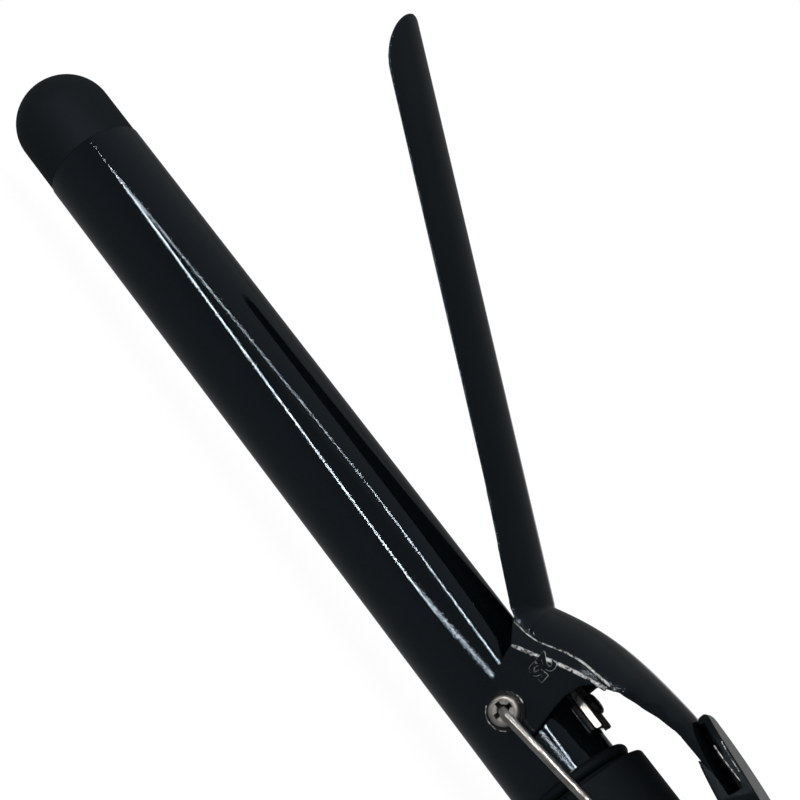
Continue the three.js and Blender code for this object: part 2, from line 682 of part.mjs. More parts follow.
function ear(side) {
  const lobe = EAR_LOBE_R;
  const edge = curveThrough(JOGGLE_OUTER).getPoints(8);
  const shape = new THREE.Shape();
  shape.moveTo(edge[0].x, edge[0].z);
  shape.lineTo(-lobe - 1.4, -2.4);
  shape.quadraticCurveTo(-lobe - 0.2, -4.2, lobe * Math.cos(rad(238)), lobe * Math.sin(rad(238)));
  shape.absarc(0, 0, lobe, rad(238), rad(325));
  shape.lineTo(6.2, 1.2);
  shape.quadraticCurveTo(7, 3.4, 5.7, 5.4);
  shape.bezierCurveTo(2.2, SPOON_R - 3.3, -1.6, SPOON_R + 0.3, -1.4, SPOON_R + 3.9);
  shape.bezierCurveTo(-1.1, SPOON_R + 6.9, 0.6, SPOON_R + 9.1, edge[8].x, edge[8].z);
  for (const point of edge.reverse()) shape.lineTo(point.x, point.z);
  const bore = new THREE.Path().absarc(0, 0, SCREW_SHANK_D / 2 + SLIDING_GAP, 0, 2 * Math.PI, true);
  shape.holes.push(bore);
  const [yFrom, yTo] = side > 0 ? [EAR_INSIDE, EAR_OUTSIDE] : [-EAR_OUTSIDE, -EAR_INSIDE];
  return plate(shape, yFrom, yTo, 6).translate([0, 0, PIVOT_Z]);
}

// Moulded thumb rest, pushed over the end of the lever: a hollow visor in front, then a sleeve
// round the strap with a tapered sole under it. Its side view starts at the spoon's crown.
function thumbGrip() {
  const top = new THREE.Path()
    .moveTo(9.5, 26.6)
    .bezierCurveTo(9.5, 27.7, 10.6, 28, 12.1, 28.5)
    .bezierCurveTo(18, 30.7, 22, 32.2, 28.7, 34.4)
    .bezierCurveTo(36, 36.7, 42, 39, 48, 42.7)
    .bezierCurveTo(49.9, 43.9, 51, 42.5, 50.6, 40.7);
  const side = new THREE.Shape(top.getPoints(5));
  side.quadraticCurveTo(48, 35.7, 40, 31.5);
  side.quadraticCurveTo(34.8, 28.3, 27.8, 26);
  side.lineTo(18, 23.2);
  side.quadraticCurveTo(22, 26.1, SLEEVE_X + 0.8, 27.1);
  side.lineTo(SLEEVE_X, 31.5);
  side.bezierCurveTo(22.8, 30.1, 18, 27.4, 13, 26.6);
  side.quadraticCurveTo(11.4, 25.7, 10.2, 25.8);
  const half = GRIP_W / 2;
  const body = plate(side, -half, half, 5).intersect(gripPlan());

  const roof = new THREE.Shape();
  roof.moveTo(11.6, 26.6);
  roof.lineTo(SLEEVE_X - 0.8, 31.9);
  roof.lineTo(SLEEVE_X - 0.8, 22.5);
  roof.lineTo(11.6, 22.5);
  const skirt = half - GRIP_WALL;
  const hollowed = body.subtract(plate(roof, -skirt, skirt));
  return hollowed.translate([0, 0, SPOON_R]).subtract(leverPocket());
}

const SLEEVE_X = 26.6; // front of the sleeve
const GRIP_WALL = 1.6;
const GRIP_W = STRAP_W + 5;

// The grip seen from above: a rounded front and softly rounded corners.
function gripPlan() {
  const half = GRIP_W / 2;
  const plan = new THREE.Shape();
  plan.moveTo(9, 0);
  plan.bezierCurveTo(9, -half + 2, 13, -half + 0.6, 24, -half);
  plan.lineTo(42, -half);
  plan.quadraticCurveTo(52, -half, 52, 0);
  plan.quadraticCurveTo(52, half, 42, half);
  plan.lineTo(24, half);
  plan.bezierCurveTo(13, half - 0.6, 9, half - 2, 9, 0);
  const options = { depth: 60, bevelEnabled: false, curveSegments: 8 };
  return solid(new THREE.ExtrudeGeometry(plan, options));
}

function leverPocket() {
  const length = LEVER_CURVE.getLength();
  const steps = 10;
  const rings = [];
  for (let i = 0; i <= steps; i++) {
    const u = THREE.MathUtils.lerp(0.5, 1, i / steps);
    const [, halfWidth, depth] = between(LEVER_SECTIONS, u * length);
    const crown = LEVER_CURVE.getPointAt(u);
    const direction = LEVER_CURVE.getTangentAt(u);
    if (i === steps) crown.addScaledVector(direction, SLIDING_GAP);
    const down = new THREE.Vector2(direction.y, -direction.x);
    const corner = (y, fall) => new THREE.Vector3(crown.x + down.x * fall, y, crown.y + down.y * fall);
    const y = halfWidth + SLIDING_GAP;
    const low = depth + SLIDING_GAP;
    rings.push([corner(-y, -SLIDING_GAP), corner(y, -SLIDING_GAP), corner(y, low), corner(-y, low)]);
  }
  return lofted(rings);
}

const pressing = union([clampSheet(), joggle(1), joggle(-1), ear(1), ear(-1)]);
piece("clamp_lever", pressing.translate([0, 0, -PIVOT_Z]), SATIN_COAT, clamp);
piece("thumb_grip", thumbGrip().translate([0, 0, -PIVOT_Z]), GLOSS_PLASTIC, clamp);

// ---- Wire stand ----------------------------------------------------------------------------

// Folded back beside the handle: each arm starts in a pivot screw, and a foot passes under the
// handle. It is drawn with straight arms, then turned up by its rise.
function wireStand() {
  const corners = [
    [0, -SCREW_INNER - 2, 0, 0],
    [0, -ARM_Y, 0, WIRE_BEND_R],
    [STAND_ARM, -ARM_Y, 0, FOOT_BEND_R],
    [STAND_ARM, -ARM_Y, FOOT_Z - PIVOT_Z, FOOT_CORNER_R],
    [STAND_ARM, ARM_Y, FOOT_Z - PIVOT_Z, FOOT_CORNER_R],
    [STAND_ARM, ARM_Y, 0, FOOT_BEND_R],
    [0, ARM_Y, 0, WIRE_BEND_R],
    [0, SCREW_INNER + 2, 0, 0],
  ];
  const rise = Math.tan(WIRE_RISE);
  const at = ([x, y, z]) => new THREE.Vector3(x, y, z + x * rise * (z === 0 ? 1 : 0));
  const path = new THREE.CurvePath();
  let from = at(corners[0]);
  for (let i = 1; i + 1 < corners.length; i++) {
    const corner = at(corners[i]);
    const r = corners[i][3];
    const incoming = corner.clone().sub(at(corners[i - 1])).normalize();
    const outgoing = at(corners[i + 1]).sub(corner).normalize();
    const into = corner.clone().addScaledVector(incoming, -r);
    const out = corner.clone().addScaledVector(outgoing, r);
    const near = corner.clone().lerp(into, 0.448);
    const beyond = corner.clone().lerp(out, 0.448);
    path.add(new THREE.LineCurve3(from, into));
    path.add(new THREE.CubicBezierCurve3(into, near, beyond, out));
    from = out;
  }
  path.add(new THREE.LineCurve3(from, at(corners[corners.length - 1])));
  return sweptWire(path, WIRE_R, 10);
}

// A wire through bends: more rings on the bends than on the straights, and no twist.
function sweptWire(path, radius, sides) {
  const points = [];
  for (const curve of path.curves) {
    const steps = curve instanceof THREE.LineCurve3 ? 1 : 4;
    for (let i = points.length ? 1 : 0; i <= steps; i++) {
      points.push({ at: curve.getPoint(i / steps), along: curve.getTangent(i / steps) });
    }
  }
  let side = new THREE.Vector3(0, 0, 1);
  const rings = points.map(({ at, along }) => {
    side = side.clone().addScaledVector(along, -side.dot(along)).normalize();
    const other = new THREE.Vector3().crossVectors(along, side);
    const ring = [];
    for (let j = 0; j < sides; j++) {
      const turn = (2 * Math.PI * j) / sides;
      const spoke = side.clone().multiplyScalar(radius * Math.cos(turn));
      ring.push(at.clone().add(spoke.addScaledVector(other, radius * Math.sin(turn))));
    }
    return ring.reverse();
  });
  return lofted(rings);
}

const stand = new THREE.Group();
stand.name = "stand";
stand.position.z = PIVOT_Z;
group.add(stand);
piece("wire_stand", wireStand(), STEEL, stand);

// ---- Collar and handle ---------------------------------------------------------------------

const COLLAR_IN = BARREL_R + SEAT_GAP;
const COLLAR_OUT = COLLAR_IN + COLLAR_WALL;
const NOSE_WALL = 2.4; // the handle's front wall, in the collar's groove

function heatCollar() {
  const mid = BEAD_FRONT + BEAD_LENGTH / 2;
  const bulge = BEAD_LENGTH / 2;
  const bead = [];
  for (let i = 0; i <= 5; i++) {
    const turn = Math.PI - (i / 5) * Math.PI;
    bead.push([mid + bulge * Math.cos(turn), BEAD_R - bulge + bulge * Math.sin(turn)]);
  }
  const lip = HANDLE_FRONT + NOSE_WALL + SLIDING_GAP;
  return turned([
    [BEAD_FRONT, COLLAR_IN],
    ...bead,
    [BEAD_FRONT + BEAD_LENGTH, COLLAR_OUT],
    [lip, COLLAR_OUT],
    [lip, HANDLE_R - HANDLE_WALL - SLIDING_GAP],
    [lip + 2, HANDLE_R - HANDLE_WALL - SLIDING_GAP],
    [lip + 2, COLLAR_OUT],
    [lip + 8, COLLAR_OUT],
    [lip + 8, COLLAR_IN],
  ]);
}

function handleRadius(x) {
  const share = (x - HANDLE_FRONT) / HANDLE_LENGTH;
  const waist = THREE.MathUtils.smootherstep(share, 0.12, 0.7);
  const tail = THREE.MathUtils.smootherstep(share, 0.74, 1);
  return HANDLE_R - waist * (HANDLE_R - HANDLE_WAIST_R) + tail * (HANDLE_TAIL_R - HANDLE_WAIST_R);
}

const CAP_GROOVE_X = HANDLE_REAR - 5;
const CAP_GROOVE_W = 1.6;
const REAR_PLUG_R = HANDLE_TAIL_R - HANDLE_WALL - SLIDING_GAP;

// One revolved profile gives both shells: nose wall, barrel rings, stop ring and cap rib.
function handleBody() {
  const from = HANDLE_FRONT;
  const outside = [[from, HANDLE_R - 0.9], [from + 0.3, HANDLE_R - 0.25], [from + 0.9, HANDLE_R]];
  for (let i = 1; i <= 8; i++) {
    const x = from + (i / 8) * HANDLE_LENGTH;
    outside.push([x, handleRadius(x)]);
  }
  const inside = [];
  const skin = (x) => handleRadius(x) - HANDLE_WALL;
  const ring = (x, width, radius) => {
    inside.push([x, skin(x)], [x, radius], [x + width, radius], [x + width, skin(x + width)]);
  };
  inside.push([from, COLLAR_OUT + SLIDING_GAP], [from + NOSE_WALL, COLLAR_OUT + SLIDING_GAP]);
  inside.push([from + NOSE_WALL, skin(from + NOSE_WALL)]);
  ring(BARREL_TAIL - 6, 2, BARREL_R + SLIDING_GAP);
  ring(BARREL_TAIL + SLIDING_GAP, 2, TUBE_BORE_R - 1);
  for (let i = 2; i <= 6; i++) {
    const x = from + (i / 8) * HANDLE_LENGTH;
    inside.push([x, skin(x)]);
  }
  ring(CAP_GROOVE_X, CAP_GROOVE_W, REAR_PLUG_R - 1.2);
  inside.push([HANDLE_REAR, skin(HANDLE_REAR)]);
  return turned([...outside, ...inside.reverse()], 32);
}

// Pillars for the two shell screws. The lower one holds the head, the upper one the thread.
function screwPillars(side) {
  const pillars = SHELL_SCREW_X.map((x) => {
    const depth = handleRadius(x) - 0.6;
    const r = SCREW_PILLAR_R;
    return turnedUpright([[SEAM, 0], [SEAM, r], [depth, r], [depth, 0]], x);
  });
  const both = union(pillars);
  return side > 0 ? both : both.rotate([180, 0, 0]);
}

const SEAM = SLIDING_GAP / 2;
const SHELL_HEAD_R = 2.7;
const SHELL_HEAD_DEPTH = 6;

function shellScrewHoles(side) {
  const thread = SHELL_SCREW_D / 2 + SEAT_GAP;
  const holes = SHELL_SCREW_X.map((x) => {
    const seat = handleRadius(x) - SHELL_HEAD_DEPTH;
    const upper = [[-1, 0], [-1, thread], [9, thread], [9, 0]];
    const lower = [
      [-1, 0],
      [-1, thread],
      [seat, thread],
      [seat, SHELL_HEAD_R + SLIDING_GAP],
      [BARREL_D, SHELL_HEAD_R + SLIDING_GAP],
      [BARREL_D, 0],
    ];
    return turnedUpright(side > 0 ? upper : lower, x);
  });
  const both = union(holes);
  return side > 0 ? both : both.rotate([180, 0, 0]);
}

function handleShell(side) {
  const far = 40;
  const half = side > 0
    ? block([0, -far, SEAM], [GLAND_END, far, far])
    : block([0, -far, -far], [GLAND_END, far, -SEAM]);
  let shell = handleBody().intersect(half).add(screwPillars(side)).subtract(shellScrewHoles(side));
  if (side > 0) {
    const slot = SLIDER_W / 2 + SLIDING_GAP;
    const front = SLIDER_X - SLIDER_TAB / 2 - SLIDING_GAP;
    const back = SLIDER_X + SLIDER_TRAVEL + SLIDER_TAB / 2 + SLIDING_GAP;
    shell = shell.subtract(block([front, -slot, 5], [back, slot, far]));
    const bore = LENS_D / 2 + SEAT_GAP;
    shell = shell.subtract(turnedUpright([[5, 0], [5, bore], [far, bore], [far, 0]], LENS_X));
    return shell;
  }
  const rails = [BOARD_FROM + 3, BOARD_TO - 5].map((x) => boardRail(x));
  return shell.add(union(rails));
}

// A cross wall of the lower shell that the circuit board lies on.
function boardRail(x) {
  const top = BOARD_TOP - BOARD_T - SEAT_GAP;
  const r = handleRadius(x) - HANDLE_WALL / 2;
  const disc = turned([[x, 0], [x, r], [x + 1.6, r], [x + 1.6, 0]]);
  return disc.intersect(block([x - 1, -r, -r], [x + 3, r, top]));
}

function shellScrew(x) {
  const seat = handleRadius(x) - SHELL_HEAD_DEPTH + SEAT_GAP;
  const r = SHELL_SCREW_D / 2;
  const top = seat + 1.9;
  const body = turned([
    [-8.4, 0],
    [-7, r],
    [seat, r],
    [seat, SHELL_HEAD_R],
    [seat + 1.1, SHELL_HEAD_R],
    [top, 1.6],
    [top, 0],
  ], 16);
  return body.subtract(crossRecess(top, 3, 1)).rotate([0, 90, 0]).translate([x, 0, 0]);
}

function rearCap() {
  const flange = HANDLE_REAR + SLIDING_GAP;
  const end = HANDLE_REAR + REAR_CAP_LENGTH;
  const groove = CAP_GROOVE_X - SLIDING_GAP;
  const grooveEnd = CAP_GROOVE_X + CAP_GROOVE_W + SLIDING_GAP;
  const grooveR = REAR_PLUG_R - 1.2 - SLIDING_GAP;
  const bore = GLAND_R + SLIDING_GAP;
  return turned([
    [groove - 1.6, bore],
    [groove - 1.6, REAR_PLUG_R],
    [groove, REAR_PLUG_R],
    [groove, grooveR],
    [grooveEnd, grooveR],
    [grooveEnd, REAR_PLUG_R],
    [flange, REAR_PLUG_R],
    [flange, HANDLE_TAIL_R],
    [end - 1.2, HANDLE_TAIL_R],
    [end - 0.35, HANDLE_TAIL_R - 0.35],
    [end, HANDLE_TAIL_R - 1.2],
    [end, bore],
  ], 24);
}

// The cord outlet turns freely: its inner flange is caught behind the rear cap.
function swivelGland() {
  const catchFace = CAP_GROOVE_X - SLIDING_GAP - 1.6 - SLIDING_GAP;
  const bore = CORD_BORE / 2;
  const ribs = [];
  const ribFrom = HANDLE_REAR + REAR_CAP_LENGTH + 3;
  for (let i = 0; i < 3; i++) {
    const x = ribFrom + i * 4;
    ribs.push([x, GLAND_R - 0.2 * i], [x + 0.4, GLAND_R - 0.9 - 0.2 * i]);
    ribs.push([x + 1.6, GLAND_R - 0.9 - 0.2 * i], [x + 2, GLAND_R - 0.2 * i - 0.1]);
  }
  return turned([
    [catchFace - 2, bore],
    [catchFace - 2, GLAND_R + 2.6],
    [catchFace, GLAND_R + 2.6],
    [catchFace, GLAND_R],
    ...ribs,
    [GLAND_END - 0.6, GLAND_R - 0.9],
    [GLAND_END, GLAND_R - 1.5],
    [GLAND_END, bore],
  ], 20);
}

function circuitBoard() {
  const board = block(
    [BOARD_FROM, -BOARD_W / 2, BOARD_TOP - BOARD_T],
    [BOARD_TO, BOARD_W / 2, BOARD_TOP],
  );
  const low = BOARD_TOP - 0.2;
  const high = BOARD_TOP + 7;
  const capacitor = turnedUpright([[low, 0], [low, 3], [high, 3], [high, 0]], LENS_X - 6);
  const parts = [
    block([BOARD_FROM + 4.5, -3.5, low], [BOARD_FROM + 11.5, 3.5, BOARD_TOP + 6]),
    block([SLIDER_X - 2, 4.5, low], [SLIDER_X + 6, 8.5, BOARD_TOP + 4]),
    capacitor.translate([0, -5.6, 0]),
  ];
  return union([board, ...parts]);
}

const SWITCH_TOP = 4.6;

// Switch body with an open channel in which the slider's stem runs.
function slideSwitch() {
  const base = BOARD_TOP + SEAT_GAP;
  const length = SLIDER_TRAVEL + 10;
  const mid = SLIDER_X + SLIDER_TRAVEL / 2;
  const body = block([mid - length / 2, -3.6, base], [mid + length / 2, 3.6, SWITCH_TOP]);
  const run = SLIDER_TRAVEL / 2 + 1.5 + SLIDING_GAP;
  const channel = block([mid - run, -1.3, SWITCH_TOP - 2.4], [mid + run, 1.3, SWITCH_TOP + 1]);
  return body.subtract(channel);
}

function powerSlider() {
  const skin = handleRadius(SLIDER_X + SLIDER_TRAVEL);
  const under = Math.sqrt((skin - HANDLE_WALL) ** 2 - 3.6 ** 2) - SLIDING_GAP;
  const shoe = block([SLIDER_X - 8, -3.6, under - 1.2], [SLIDER_X + 8, 3.6, under]);
  const half = SLIDER_TAB / 2;
  const side = SLIDER_W / 2;
  const tab = block([SLIDER_X - half, -side, under - 0.6], [SLIDER_X + half, side, skin + 1.5]);
  const stem = block([SLIDER_X - 1.5, -1, SWITCH_TOP - 2], [SLIDER_X + 1.5, 1, under - 0.6]);
  let slider = shoe.add(tab).add(stem);
  for (const x of [-2.4, -0.8, 0.8, 2.4]) {
    const groove = block([SLIDER_X + x - 0.35, -4, skin + 0.9], [SLIDER_X + x + 0.35, 4, skin + 3]);
    slider = slider.subtract(groove);
  }
  return slider;
}

function indicatorLens() {
  const r = LENS_D / 2;
  const skin = handleRadius(LENS_X);
  return turnedUpright([
    [LED_TOP + SLIDING_GAP, 0],
    [LED_TOP + SLIDING_GAP, r - 0.5],
    [skin - HANDLE_WALL, r - 0.5],
    [skin - HANDLE_WALL, r],
    [skin + 0.1, r],
    [skin + 0.6, r * 0.6],
    [skin + 0.8, 0],
  ], LENS_X);
}

const LED_TOP = 5.4;

function indicatorLed() {
  const base = BOARD_TOP + SEAT_GAP;
  return turnedUpright([
    [base, 0],
    [base, 1.9],
    [base + 0.8, 1.9],
    [base + 0.8, 1.5],
    [LED_TOP - 1.4, 1.5],
    [LED_TOP - 0.4, 1.1],
    [LED_TOP, 0],
  ], LENS_X);
}

piece("heat_collar", heatCollar(), MATT_PLASTIC);
piece("handle_shell_upper", handleShell(1), MATT_PLASTIC);
piece("handle_shell_lower", handleShell(-1), MATT_PLASTIC);
piece("shell_screw_front", shellScrew(SHELL_SCREW_X[0]), STEEL);
piece("shell_screw_rear", shellScrew(SHELL_SCREW_X[1]), STEEL);
piece("circuit_board", circuitBoard(), BOARD_GREEN);
piece("slide_switch", slideSwitch(), BLACK_STEEL);
piece("power_slider", powerSlider(), MATT_PLASTIC);
piece("indicator_led", indicatorLed(), AMBER);
piece("indicator_lens", indicatorLens(), AMBER);
piece("rear_cap", rearCap(), MATT_PLASTIC);
piece("swivel_gland", swivelGland(), MATT_PLASTIC);

// The whole iron is moved so that the origin is its bottom centre.
const CENTRE_X = (TIP_X + GLAND_END) / 2;
const toOrigin = new THREE.Vector3(-CENTRE_X, 0, -FLOOR_Z);
for (const child of group.children) child.position.add(toOrigin);

export default group;
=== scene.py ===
"""Curling iron: visual pieces, finishes, studio and camera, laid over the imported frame."""

import math

import bmesh
import bpy
from bpy.props import FloatProperty, FloatVectorProperty, IntProperty, PointerProperty
from mathutils import Matrix, Vector


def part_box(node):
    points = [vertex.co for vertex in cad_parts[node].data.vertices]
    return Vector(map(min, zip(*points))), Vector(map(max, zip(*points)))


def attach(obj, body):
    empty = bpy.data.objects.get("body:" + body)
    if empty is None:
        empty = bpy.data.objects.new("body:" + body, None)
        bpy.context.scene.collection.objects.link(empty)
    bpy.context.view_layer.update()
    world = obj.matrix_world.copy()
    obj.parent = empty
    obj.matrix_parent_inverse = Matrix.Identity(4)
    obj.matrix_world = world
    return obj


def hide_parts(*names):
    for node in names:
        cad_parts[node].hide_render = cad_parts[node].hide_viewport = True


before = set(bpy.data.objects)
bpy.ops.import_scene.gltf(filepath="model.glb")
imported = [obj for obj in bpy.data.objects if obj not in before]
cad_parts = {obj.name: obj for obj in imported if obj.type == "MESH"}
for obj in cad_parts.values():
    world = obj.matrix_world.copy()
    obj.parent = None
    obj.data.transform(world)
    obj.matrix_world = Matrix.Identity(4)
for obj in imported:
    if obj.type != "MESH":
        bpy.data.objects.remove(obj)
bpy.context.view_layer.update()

bl_info = {
    "name": "Curling Iron",
    "version": (1, 0, 0),
    "blender": (4, 5, 0),
    "location": "View3D > Sidebar > Curling Iron",
    "description": "Builds a spring-clamp curling iron on its packed frame, with its finishes and studio",
    "category": "Object",
}

MM = 0.001
SLIDING_GAP = 0.3  # in mm, between pieces that slip together or move past each other
SEAT_GAP = 0.1  # in mm, between pieces that are screwed or pressed together
SCREW_HOLE = 2.5  # in mm, radius of the holes round a pivot screw's shank


def middle(node):
    low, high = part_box(node)
    return (low + high) / 2


def reach(node, axis, end):
    """A node's extent on one axis, from the pivot along X and from the barrel's axis elsewhere, in mm."""
    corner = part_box(node)[1 if end > 0 else 0]
    return (corner - Vector((PIVOT.x, 0, AXIS_Z)))[axis] / MM


AXIS_Z = middle("barrel_tube").z
PIVOT = middle("pivot_washer_near")
PIVOT.y = 0
PIVOT_LIFT = (PIVOT.z - AXIS_Z) / MM
PIVOT_CENTRE = (0, 0, PIVOT_LIFT)


# ---- Sizes and colours ----------------------------------------------------------------------


def length(name, text, millimetres):
    return FloatProperty(name=name, description=text, default=millimetres * MM, unit="LENGTH", precision=5)


def turn(name, text, degrees):
    return FloatProperty(name=name, description=text, default=math.radians(degrees), unit="ROTATION")


def colour(name, text, value):
    return FloatVectorProperty(
        name=name, description=text, default=value, subtype="COLOR", size=3, min=0, max=1
    )


class IronSizes(bpy.types.PropertyGroup):
    barrel_r: length("Barrel radius", "Outside radius of the heated tube", reach("barrel_tube", 1, 1))
    barrel_wall: length("Barrel wall", "Wall of the heated tube", 0.8)
    cap_r: length("Cap radius", "Outside radius of the tip cap", reach("tip_cap", 1, 1))
    cap_dome: length("Cap dome", "Length of the cap's rounded end", 11.7)
    sheet: length("Clamp sheet", "Thickness of the clamp's steel", 0.7)
    spoon_gap: length("Spoon clearance", "Gap between spoon and barrel when shut", 0.3)
    spoon_half_angle: turn("Spoon half-angle", "Half of the arc that the spoon covers", 59)
    spoon_flare: turn("Spoon flare", "How much deeper the spoon is at its root", 3.5)
    spoon_end: length("Spoon length", "Pivot to the spoon's tip", 165)
    spoon_nose: length("Spoon nose", "Length of the spoon's rounded tip", 16.3)
    clamp_open: turn("Clamp angle", "How far the clamp is held open", 25)
    ear_y: length("Ear", "Axis to the ear's outer face", reach("clamp_lever", 1, 1))
    strap_half: length("Lever half-width", "Half-width of the lever's narrow end", 7.5)
    number_height: length("Number height", "Height of the pressed size number", 3.9)
    screw_head_r: length("Screw head", "Radius of a pivot screw's head", 3.4)
    wire_r: length("Wire", "Radius of the stand's wire", 1.125)
    stand_arm: length("Stand arm", "Pivot to the stand's foot", 50)
    bead_r: length("Collar bead", "Outside radius of the collar's bead", reach("heat_collar", 1, 1))
    handle_front: length("Handle front", "Pivot to the handle's front", reach("handle_shell_upper", 0, -1))
    handle_rear: length("Handle rear", "Pivot to the handle's rear", reach("handle_shell_upper", 0, 1))
    handle_r: length("Handle radius", "Radius of the handle at its front", reach("handle_shell_upper", 1, 1))
    handle_wall: length("Handle wall", "Wall of the handle's shells", 1.9)
    gland_end: length("Cord outlet", "Pivot to the end of the cord outlet", reach("swivel_gland", 0, 1))
    barrel_sides: IntProperty(name="Barrel sides", description="Facets round the barrel", default=160, min=24)


class IronColours(bpy.types.PropertyGroup):
    gloss_coat: colour("Gloss coating", "Baked coating of the barrel", (0.0016, 0.0022, 0.0030))
    satin_coat: colour("Satin coating", "Powder coating of the clamp", (0.0020, 0.0026, 0.0034))
    cap_moulding: colour("Cap moulding", "Tip cap", (0.0074, 0.0100, 0.0122))
    gloss_moulding: colour("Gloss moulding", "Thumb grip", (0.0020, 0.0027, 0.0034))
    satin_moulding: colour("Satin moulding", "Handle, collar and rear cap", (0.0030, 0.0039, 0.0048))
    nickel: colour("Nickel", "Screws and wire stand", (0.50, 0.50, 0.49))
    spring_steel: colour("Spring steel", "Leaf spring and the bracket's edges", (0.80, 0.80, 0.79))
    black_steel: colour("Blackened steel", "Bracket, washers and switch", (0.006, 0.006, 0.0065))
    # pale grey painted on bends, raised edges and lips as their highlight lines
    rubbed: colour("Painted highlights", "Where the coating is rubbed thin", (0.52, 0.53, 0.53))
    amber: colour("Amber lens", "Indicator", (0.55, 0.14, 0.02))


class StudioSettings(bpy.types.PropertyGroup):
    lens: FloatProperty(name="Lens", description="Focal length in millimetres", default=99.0)
    azimuth: turn("Camera azimuth", "Towards the handle from square on", 17.626)
    elevation: turn("Camera elevation", "Above the horizon", 5.883)
    roll: turn("Camera roll", "Turn about the view axis", 49.959)
    camera_place: FloatVectorProperty(
        name="Camera place",
        description="Camera position",
        subtype="TRANSLATION",
        default=(0.0881, -0.4786, 0.0943),
    )
    strip_width: length("Strip lamps", "Width of the strip lamps that draw the long highlights", 10)
    strip_radiance: FloatProperty(
        name="Strip radiance", description="Radiance of the strip lamps", default=150.0
    )


# ---- Places and shapes, in mm from the pivot's foot on the barrel's axis --------------------


def place(x, y, z):
    return Vector((PIVOT.x + x * MM, y * MM, AXIS_Z + z * MM))


def smooth(a, b, t):
    t = max(0.0, min(1.0, (t - a) / (b - a)))
    return t * t * (3 - 2 * t)


def mix(a, b, t):
    return a + (b - a) * t


def bezier(start, *pulls, steps=16):
    """Points of joined cubic curves, each given as two pulls and an end."""
    points = [Vector(start)]
    for a, b, c in pulls:
        p = points[-1]
        a, b, c = Vector(a), Vector(b), Vector(c)
        for i in range(1, steps + 1):
            t = i / steps
            points.append(p * (1 - t) ** 3 + a * 3 * t * (1 - t) ** 2 + b * 3 * t * t * (1 - t) + c * t ** 3)
        points[-1] = c
    return points


def evenly(points, count):
    """The same line with points at even distances."""
    tiny = 1e-9
    along = [0.0]
    for p, q in zip(points, points[1:]):
        along.append(along[-1] + (q - p).length)
    line = []
    for i in range(count + 1):
        want = along[-1] * i / count
        k = next((n for n in range(1, len(along)) if along[n] >= want - tiny), len(along) - 1)
        share = (want - along[k - 1]) / max(along[k] - along[k - 1], tiny)
        line.append(points[k - 1].lerp(points[k], share))
    return line


def through(points, steps=24):
    """A smooth line through points, each stretch a cubic curve."""
    padded = [points[0] * 2 - points[1], *points, points[-1] * 2 - points[-2]]
    line = []
    for i in range(len(points) - 1):
        p0, p1, p2, p3 = padded[i:i + 4]
        for k in range(steps):
            t = k / steps
            bend = (p0 * 2 - p1 * 5 + p2 * 4 - p3) * t * t
            line.append(((p1 * 2) + (p2 - p0) * t + bend + (p1 * 3 - p0 - p2 * 3 + p3) * t ** 3) / 2)
    return [*line, points[-1]]


def rounded(x, q, along, out, end=90, count=8, start=0):
    """Points (x, q) of an arc about a centre, by its reach along and outwards, from start to end degrees."""
    angles = [math.radians(mix(start, end, i / count)) for i in range(count + 1)]
    return [(x + along * math.sin(a), q + out * math.cos(a)) for a in angles]


def made(name, bm):
    """A new object from bm, smooth-shaded."""
    bmesh.ops.recalc_face_normals(bm, faces=bm.faces[:])
    mesh = bpy.data.meshes.new(name)
    bm.to_mesh(mesh)
    bm.free()
    obj = bpy.data.objects.new(name, mesh)
    bpy.context.scene.collection.objects.link(obj)
    return shaded(obj)


def shaded(obj, sharp_from=None):
    """Smooth shading, with the corners sharper than an angle in degrees kept."""
    mesh = obj.data
    mesh.polygons.foreach_set("use_smooth", [True] * len(mesh.polygons))
    if sharp_from:
        mesh.set_sharp_from_angle(angle=math.radians(sharp_from))
    return obj


ON_AXIS = 1e-6  # in mm; a smaller radius is a single point


def lathe(name, profile, sides=96, about="X", centre=(0, 0, 0)):
    """A closed profile of (along, radius) turned about X, or about an upward or sideways axis."""
    bm = bmesh.new()
    rings = []
    for along, r in profile:
        turns = [0] if r < ON_AXIS else [math.tau * i / sides for i in range(sides)]
        rings.append([bm.verts.new(spun(along, 0 if r < ON_AXIS else r, a, about, centre)) for a in turns])
    for one, two in zip(rings, rings[1:] + rings[:1]):
        skin(bm, one, two)
    return made(name, bm)


def spun(along, r, angle, about, centre):
    a, b = r * math.cos(angle), r * math.sin(angle)
    spot = {"X": (along, a, b), "Y": (a, along, b), "Z": (a, b, along)}[about]
    return place(*(Vector(spot) + Vector(centre)))


def skin(bm, one, two, closed=True):
    """Faces between two rings, either of which may be a single point."""
    if len(one) == 1 and len(two) == 1:
        return
    count = max(len(one), len(two))
    for j in range(count if closed else count - 1):
        k = (j + 1) % count
        if len(one) == 1:
            corners = [one[0], two[k], two[j]]
        elif len(two) == 1:
            corners = [one[j], one[k], two[0]]
        else:
            corners = [one[j], one[k], two[k], two[j]]
        bm.faces.new(corners)


def loft(name, rings):
    """A body through closed rings of points; each end is closed by quads between the ring's halves."""
    bm = bmesh.new()
    loops = [[bm.verts.new(place(*p)) for p in ring] for ring in rings]
    for one, two in zip(loops, loops[1:]):
        skin(bm, one, two)
    for loop in (loops[0], loops[-1]):
        count = len(loop)
        for j in range(count // 2 - 1):
            bm.faces.new([loop[j], loop[j + 1], loop[count - 2 - j], loop[count - 1 - j]])
    return made(name, bm)


